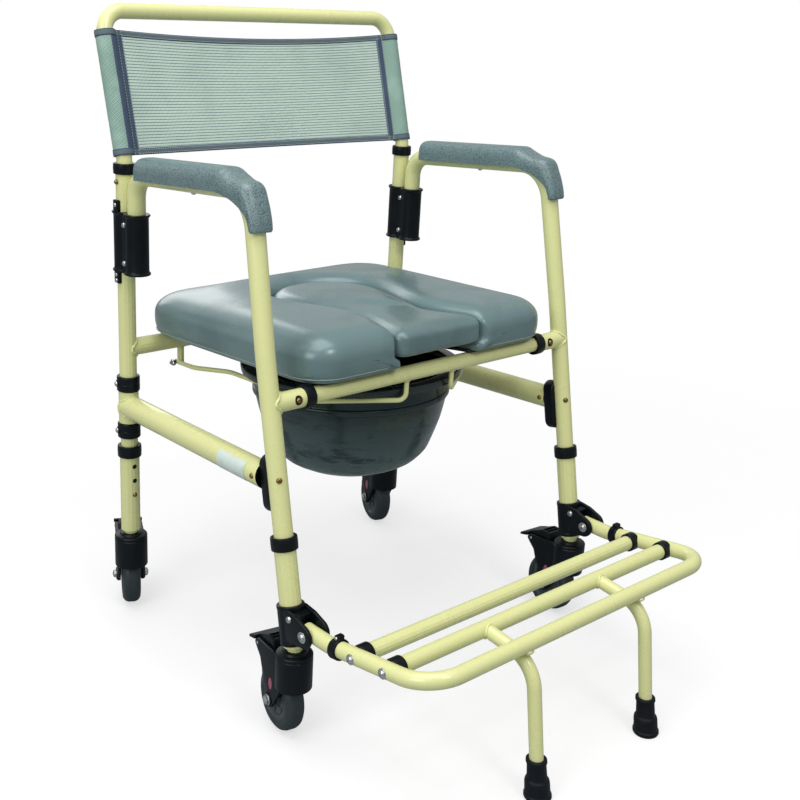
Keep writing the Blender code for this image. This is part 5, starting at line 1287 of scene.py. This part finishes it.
def padRing(turned, width, height, skirt, share=1.0):
    groove, base = tube["post"] + 0.0002, padLook["base"] - skirt
    width, height = max(width * share, groove + 0.0008), groove + 0.0006 + (height - groove - 0.0006) * share
    ring = [(width * squared(c, 0.70), base + (height - base) * abs(s) ** 0.56) for c, s in arc(1, 0, pi, 32)]
    start = asin(between(base / groove, 0.0, 0.9))
    bore = groove * cos(start)
    ring += [(-bore - 0.0006, base - 0.0006), (-bore, base), *arc(groove, pi - start, start, 16), (bore, base),
             (bore + 0.0006, base - 0.0006)]
    return [turned @ Vector((x, y, 0)) for x, y in ring]


def padEnd(station, turn, reach, least):  # one ring of a rounded end
    turned, _, _, width, height, skirt = station
    place = turned @ move(0, 0, reach * (1 - cos(radians(turn))))
    return padRing(place, width, height, skirt, least + (1 - least) * sin(radians(turn)))


def makeArmPads():
    for name, side in sides.items():
        stations = padStations(side)
        rings = [padEnd(stations[0], turn, 0.0060, 0.66) for turn in padLook["ends"]]
        rings += [padRing(turned, width, height, skirt) for turned, run, left, width, height, skirt in stations
                  if run > 0.0065 and left > 0.0045]
        rings += [padEnd(stations[-1], turn, -0.0038, 0.78) for turn in reversed(padLook["ends"])]
        pad = finishPiece("armPad." + name, loftRings(bmesh.new(), rings), armFoam, "main_frame", "armrest_pad_" + name,
                          sharp=50)


# Seat: horseshoe cushion and keyhole plug, in the seat's tilted frame
seat = {"half": 0.198, "overhang": 0.0228, "rear": 0.028, "frontCorner": 0.045, "rearCorner": 0.060, "thick": 0.057,
        "plugHalf": 0.075, "widestY": -0.125, "plugRear": -0.051, "neckHalf": 0.050, "neckY": -0.245,
        "tongueHalf": 0.070, "plugLow": 0.016, "gap": 0.0025, "ledge": 0.010, "cap": 0.003, "board": 0.017,
        "seamIn": 0.0027, "seamUp": 0.0086, "hornBend": 0.012, "tongueBend": 0.016, "plugTop": 0.0035}
seatFrontY = -barRun - seat["overhang"]
seatTilt = (atan2(frontBarZ - rearBarZ, barRun)
            - asin((tube["post"] - tube["thin"]) / hypot(barRun, frontBarZ - rearBarZ)))
seatPlace = move(0, postY, rearBarZ) @ Matrix.Rotation(-seatTilt, 4, "X")
seatBase = tube["post"] + tube["gap"]
innerSteps = (0.0, 0.0003, 0.0010, 0.0022, 0.0042, 0.0075, 0.012, 0.018, 0.026)  # from an edge inward
outerSteps = (0.0, 0.0003, 0.0010, 0.0022, 0.0040, 0.0068, 0.0105, 0.0155, 0.022, 0.031, 0.042)


def plugHalfWidth(y):
    wide, neck, tongue = seat["plugHalf"], seat["neckHalf"], seat["tongueHalf"]
    if y >= seat["widestY"]:
        share = min(1.0, (y - seat["widestY"]) / (seat["plugRear"] - seat["widestY"]))
        return wide * sqrt(1 - share * share)
    if y >= seat["neckY"]:
        return neck + (wide - neck) * (1 + cos(pi * (seat["widestY"] - y) / (seat["widestY"] - seat["neckY"]))) / 2
    share = min(1.0, (seat["neckY"] - y) / (seat["neckY"] - seatFrontY))
    return neck + (tongue - neck) * (1 - cos(pi * share)) / 2


def edgeDepth(x, y):  # distance inside the cushion's outer outline
    corner = seat["frontCorner"] if y < (seatFrontY + seat["rear"]) / 2 else seat["rearCorner"]
    fromSide, fromEnd = seat["half"] - abs(x), min(y - seatFrontY, seat["rear"] - y)
    if fromSide < corner and fromEnd < corner:
        return corner - hypot(corner - fromSide, corner - fromEnd)
    return min(fromSide, fromEnd)


def crown(depth, width, start, power, root):  # rolls up from a share of the height at an edge to the full height
    return start + (1 - start) * (1 - (1 - between(depth / width)) ** power) ** (1 / root)


def lineDepth(line):  # distance to an open outline of points in plan
    def depth(x, y):
        spot, best = Vector((x, y)), 1.0
        for before, after in line:
            way = after - before
            share = between((spot - before).dot(way) / way.length_squared)
            best = min(best, (spot - before - way * share).length_squared)
        return sqrt(best)
    return depth


def openingHalf(y):  # half width of the opening, rounded where it meets the front
    bend = seat["hornBend"]
    return plugHalfWidth(y) + seat["gap"] + bend - sqrt(bend * bend - (bend - between(y - seatFrontY, 0.0, bend)) ** 2)


def outerHalf(y):
    corner = seat["frontCorner"]
    return seat["half"] - corner + sqrt(corner * corner - (corner - between(y - seatFrontY, 0.0, corner)) ** 2)


def mirrored(point):
    return Vector((-point.x, point.y))


def seatStations():  # pairs of points on the opening and on the outer edge, from the left horn round to the right
    ys = [seatFrontY + step for step in (0.00005, 0.0006, 0.0018, 0.0038, 0.007, 0.0115, 0.018, 0.027, 0.038, 0.051)]
    while ys[-1] < seat["widestY"] - 0.012:
        ys.append(ys[-1] + 0.0125)
    ys[-1] = seat["widestY"] - 0.009
    horn = [(Vector((openingHalf(y), y)), Vector((outerHalf(y), y))) for y in ys]
    centre = Vector((0, seat["widestY"]))
    wide, deep = seat["plugHalf"] + seat["gap"], seat["plugRear"] - seat["widestY"] + seat["gap"]
    fan = []
    for way in (Vector(spot) for spot in arc(1, 0, pi, 40)):
        near = 1 / hypot(way.x / wide, way.y / deep)
        low, high = near, 0.40
        for _ in range(30):  # halves the span in which the outer edge lies
            middle = (low + high) / 2
            low, high = (middle, high) if edgeDepth(*(centre + way * middle)) > 0 else (low, middle)
        fan.append((centre + way * near, centre + way * low))
    return [(mirrored(a), mirrored(b)) for a, b in horn] + fan[::-1] + horn[::-1]


def acrossSteps(length):
    scale = min(1.0, 0.92 * length / (innerSteps[-1] + outerSteps[-1]))
    inner, outer = [step * scale for step in innerSteps], [length - step * scale for step in reversed(outerSteps)]
    return inner + [inner[-1] + (outer[0] - inner[-1]) * i / 4 for i in (1, 2, 3)] + outer


def seatHeights(x, y, innerDepth):  # shares of the thickness at the top and underneath
    outside = edgeDepth(x, y)
    top = 1 - hypot(1 - crown(outside, 0.040, 0.42, 2.5, 2.6), 1 - crown(innerDepth, 0.030, 0.68, 2.4, 2.2))
    low = 0.42 * (1 - (1 - (1 - between(outside / 0.014)) ** 2.2) ** 0.45)
    return max(top, 0.42), max(low, 0.05)


def seatSpot(x, y, height):
    return seatPlace @ Vector((x, y, seatBase + height))


def swell(bm, name):  # lets the closed cover fill with a little pressure, then keeps a capped part of it
    # the cover is built in sorted order, because operators may number it anew in each run, which changes the filling
    verts, faces, cover = sorted(bm.verts, key=lambda vert: vert.co[:]), [], bmesh.new()
    order = {vert: index for index, vert in enumerate(verts)}
    for around in ([order[vert] for vert in face.verts] for face in bm.faces):
        start = around.index(min(around))
        faces.append(around[start:] + around[:start])
    copies = [cover.verts.new(vert.co) for vert in verts]
    for around in sorted(faces):
        cover.faces.new([copies[index] for index in around])
    mesh = bpy.data.meshes.new(name)
    cover.to_mesh(mesh)
    cover.free()
    item, scene = linked(name, mesh), bpy.context.scene
    step = item.modifiers.new("fill", "CLOTH")
    facts = step.settings
    facts.quality, facts.mass = 6, 0.3
    facts.use_pressure, facts.uniform_pressure_force = True, 4.0
    facts.tension_stiffness = facts.compression_stiffness = 40.0
    facts.shear_stiffness, facts.bending_stiffness = 20.0, 4.0
    facts.effector_weights.gravity = 0.0
    step.collision_settings.use_collision = False
    step.point_cache.frame_start, step.point_cache.frame_end = 1, 20
    for number in range(1, 21):
        scene.frame_set(number)
    graph = bpy.context.evaluated_depsgraph_get()
    moves = {vert: spot.co - vert.co for vert, spot in zip(verts, item.evaluated_get(graph).data.vertices)}
    bpy.data.objects.remove(item)
    bpy.data.meshes.remove(mesh)
    scene.frame_set(1)
    for _ in range(12):  # evens the move out between neighbours
        moves = {vert: (moves[vert] + sum((moves[edge.other_vert(vert)] for edge in vert.link_edges), Vector()))
                 / (1 + len(vert.link_edges)) for vert in verts}
    for vert, shift in moves.items():
        if shift.length > seat["cap"]:
            shift = shift * (seat["cap"] / shift.length)
        height = (seatPlace.inverted() @ vert.co).z - seatBase
        vert.co += shift * between((height / seat["thick"] - 0.62) / 0.25)  # none at the walls, all of it on the top


def softPiece(name, rings, body, node):
    bm = loftRings(bmesh.new(), rings, capped=False)
    bmesh.ops.remove_doubles(bm, verts=bm.verts, dist=2e-6)
    bmesh.ops.holes_fill(bm, edges=[edge for edge in bm.edges if edge.is_boundary])
    bmesh.ops.recalc_face_normals(bm, faces=bm.faces)
    swell(bm, name)
    piece = finishPiece(name, bm, seatFoam, body, node, sharp=0, tidy=False)
    step = piece.modifiers.new("soften", "SUBSURF")
    step.levels = step.render_levels = 1


def makeSeat():
    stations = seatStations()
    innerLine = [near for near, _ in stations]
    depthInside = lineDepth(list(zip(innerLine, innerLine[1:])))
    rings, boards, inset = [], [], seat["board"]
    ledge, shelf = seat["plugLow"] / seat["thick"] - 0.006, seat["ledge"]
    for near, far in stations:
        way = (far - near).normalized()
        spots = [near + way * run for run in acrossSteps((far - near).length)]
        heights = [seatHeights(spot.x, spot.y, depthInside(spot.x, spot.y)) for spot in spots]
        ring = [(spot, top) for spot, (top, _) in zip(spots, heights)]
        ring += [(spot, low) for spot, (_, low) in list(zip(spots, heights))[-2::-1]]
        ring += [(near - way * (shelf - 0.0005), 0.05), (near - way * shelf, ledge), (near, ledge), (near, 0.45)]
        rings.append([seatSpot(spot.x, spot.y, seat["thick"] * height) for spot, height in ring])
        behind, front = near - way * (shelf - 0.001), far - way * inset
        boards.append([seatSpot(spot.x, max(spot.y, seatFrontY + inset), height)
                       for spot, height in ((behind, 0.0003), (behind, 0.0040), (front, 0.0040), (front, 0.0003))])
    softPiece("seatCushion", rings, "seat", "seat_cushion")
    finishPiece("seatBoard", loftRings(bmesh.new(), boards), boardPlastic, "seat")
    # welded seam low on the cushion's side
    inset = seat["seamIn"]
    half, front, rear = seat["half"] - inset, seatFrontY + inset, seat["rear"] - inset
    hornX = openingHalf(seatFrontY) + 0.003
    spots = [(-hornX, front), (-half, front), (-half, rear), (half, rear), (half, front), (hornX, front)]
    turns = [seat[key] - inset for key in ("frontCorner", "rearCorner", "rearCorner", "frontCorner")]
    seam = [seatSpot(point.x, point.y, seat["seamUp"]) for point in roundPath([(x, y, 0) for x, y in spots], turns)]
    finishPiece("seatSeam", sweepTube(bmesh.new(), seam, 0.0007, 8), seamFoam, "seat")


def plugOutline():
    front, bend = seatFrontY - 0.0005, seat["tongueBend"]
    flat = seat["tongueHalf"] - bend
    line = [Vector((flat * i / 6, front)) for i in range(6)]
    line += [Vector((flat + x, front + bend - z)) for z, x in arc(bend, 0, pi / 2, 8)[:-1]]
    y = front + bend
    while y < seat["widestY"] - 0.003:
        line.append(Vector((plugHalfWidth(y), y)))
        y += 0.0068
    depth = seat["plugRear"] - seat["widestY"]
    line += [Vector((seat["plugHalf"] * x, seat["widestY"] + depth * z)) for x, z in arc(1, 0, pi / 2, 14)]
    return line + [mirrored(point) for point in reversed(line[1:-1])]


def makePlug():
    outline = plugOutline()
    depthInside = lineDepth(list(zip(outline, outline[1:] + outline[:1])))
    front, widest = seatFrontY + 0.066, seat["widestY"]
    low, rise = seat["plugLow"], seat["thick"] - seat["plugTop"] - seat["plugLow"]
    middles = [Vector((0, front + (widest - front) * between((point.y - seatFrontY) / (widest - seatFrontY))))
               for point in outline]

    def ring(reach):  # reach gives how far a ring goes in of the way from the outline to the middle, by its length
        points = []
        for point, middle in zip(outline, middles):
            share = reach((middle - point).length)
            spot = point + (middle - point) * share
            inside = depthInside(spot.x, spot.y) if share else 0.0
            points.append(seatSpot(spot.x, spot.y, low + rise * crown(inside, 0.030, 0.60, 2.4, 2.3)))
        return points

    rings = []
    for inset, height in ((0.012, 0.0), (0.008, 0.0), (0.0025, 0.05), (0.0004, 0.16), (0.0, 0.35)):
        spots = [point + (middle - point).normalized() * inset for point, middle in zip(outline, middles)]
        rings.append([seatSpot(spot.x, spot.y, low + rise * height) for spot in spots])
    rings += [ring(lambda length: min(step / length, 0.92)) for step in innerSteps]
    for share in (0.25, 0.5, 0.75, 1.0):
        rings.append(ring(lambda length: share + (1 - share) * min(innerSteps[-1] / length, 0.62)))
    softPiece("seatPlug", rings, "plug", "seat_plug")


# Light, camera and floor
studio = {"cameraAt": (-0.99627, -1.31063, 0.83380), "cameraTurn": (70.93986, -3.20438, -42.58121),
          "lens": 54.603, "world": 0.44, "floor": srgb(248, 249, 249), "bounce": srgb(150, 156, 158), "near": 0.6,
          "fade": (0.3, 1.5)}
lamps = {"overhead": ((-0.5, 0.0, 2.7), (2.0, 2.0), 45), "left": ((-2.5, -0.5, 1.6), (1.4, 1.4), 26),
         "frontTop": ((-0.3, -2.0, 2.5), (0.7, 0.7), 17), "backLeft": ((0.7, 3.0, 1.35), (1.8, 1.2), 13)}


def mixed(tree, mask, first, second, end):  # blends two shaders into an output
    mix = addNode(tree, "MixShader", {0: mask, 1: first, 2: second})
    tree.links.new(mix.outputs[0], end)


def makeStudio():
    bm = bmesh.new()
    bmesh.ops.create_circle(bm, cap_ends=True, radius=14.0, segments=96)
    mesh = bpy.data.meshes.new("studioFloor")
    bm.to_mesh(mesh)
    bm.free()
    material, tree, shader, place = newMaterial("floorPaper", studio["floor"], 0.85)
    seen = addNode(tree, "LightPath", {}).outputs["Is Camera Ray"]
    fleck = maths(tree, "MULTIPLY", pattern(tree, "smudge", place, 2.0), 0.15)
    paper = tint(tree, fleck, studio["floor"], srgb(242, 243, 243))
    put(tree, shader, {"Base Color": tint(tree, seen, studio["bounce"], paper)})
    # away from the chair the paper turns into even white for the camera
    away = addNode(tree, "VectorMath", {0: place}, operation="LENGTH").outputs["Value"]
    far = stretch(tree, away, *studio["fade"], studio["near"], 1.0)
    white = {"Color": (1, 1, 1, 1), "Strength": 1.0}
    mixed(tree, maths(tree, "MULTIPLY", far, seen), shader.outputs[0], addNode(tree, "Emission", white).outputs[0],
          tree.nodes["Material Output"].inputs["Surface"])
    mesh.materials.append(material)
    linked("studioFloor", mesh)
    scene, world = bpy.context.scene, bpy.data.worlds.new("studioWorld")
    scene.world, world.use_nodes = world, True
    tree = world.node_tree
    sky = put(tree, tree.nodes["Background"], {"Color": (1, 1, 1, 1), "Strength": studio["world"]})
    mixed(tree, addNode(tree, "LightPath", {}).outputs["Is Camera Ray"], sky.outputs[0],
          addNode(tree, "Background", white).outputs[0], tree.nodes["World Output"].inputs[0])
    for name, (spot, size, power) in lamps.items():
        lamp = bpy.data.lights.new(name, "AREA")
        lamp.shape, lamp.size, lamp.size_y, lamp.energy = "RECTANGLE", *size, power
        linked(name, lamp).matrix_world = facing(spot, Vector(spot) - Vector((0, 0, 0.4)))
    camera = bpy.data.cameras.new("photoView")
    camera.sensor_width, camera.lens, camera.clip_end = 36.0, studio["lens"], 60
    item = linked("photoView", camera)
    item.location = Vector(studio["cameraAt"]) + Vector((0, postY, 0))
    item.rotation_euler = [radians(turn) for turn in studio["cameraTurn"]]
    scene.camera = item
    scene.view_settings.view_transform = "Standard"


# Solids that stay get their finish
def dressNodes():
    for name in ("rear_frame", "front_crossbar", "footrest_slat", *("lower_leg_" + corner for corner in corners)):
        for spot in frame["nodes"][name].material_slots:
            spot.material = steel[0]


def makeFittings():
    for (body, finish), bm in hardware.items():
        finishPiece(f"fittings.{body}.{finish}", bm, fittingLooks[finish], body, sharp=35)


stages = {"collars": makeCollars, "front legs": makeFrontLegs, "side rails": makeSideRails, "rear frame": makeRearFrame,
          "saddles": makeSaddles, "label": makeLabel, "arm brackets": makeArmBrackets, "hoop": makeHoop,
          "sling": makeSling, "pan rails": makePanRails, "pan": makePan, "casters": makeCasters,
          "foot frame": makeFootFrame, "ladder": makeLadder, "foot brackets": makeFootBrackets, "arm pads": makeArmPads,
          "seat": makeSeat, "plug": makePlug, "fittings": makeFittings, "nodes": dressNodes, "studio": makeStudio}
for stage, make in stages.items():
    make()
    print(stage, "done")
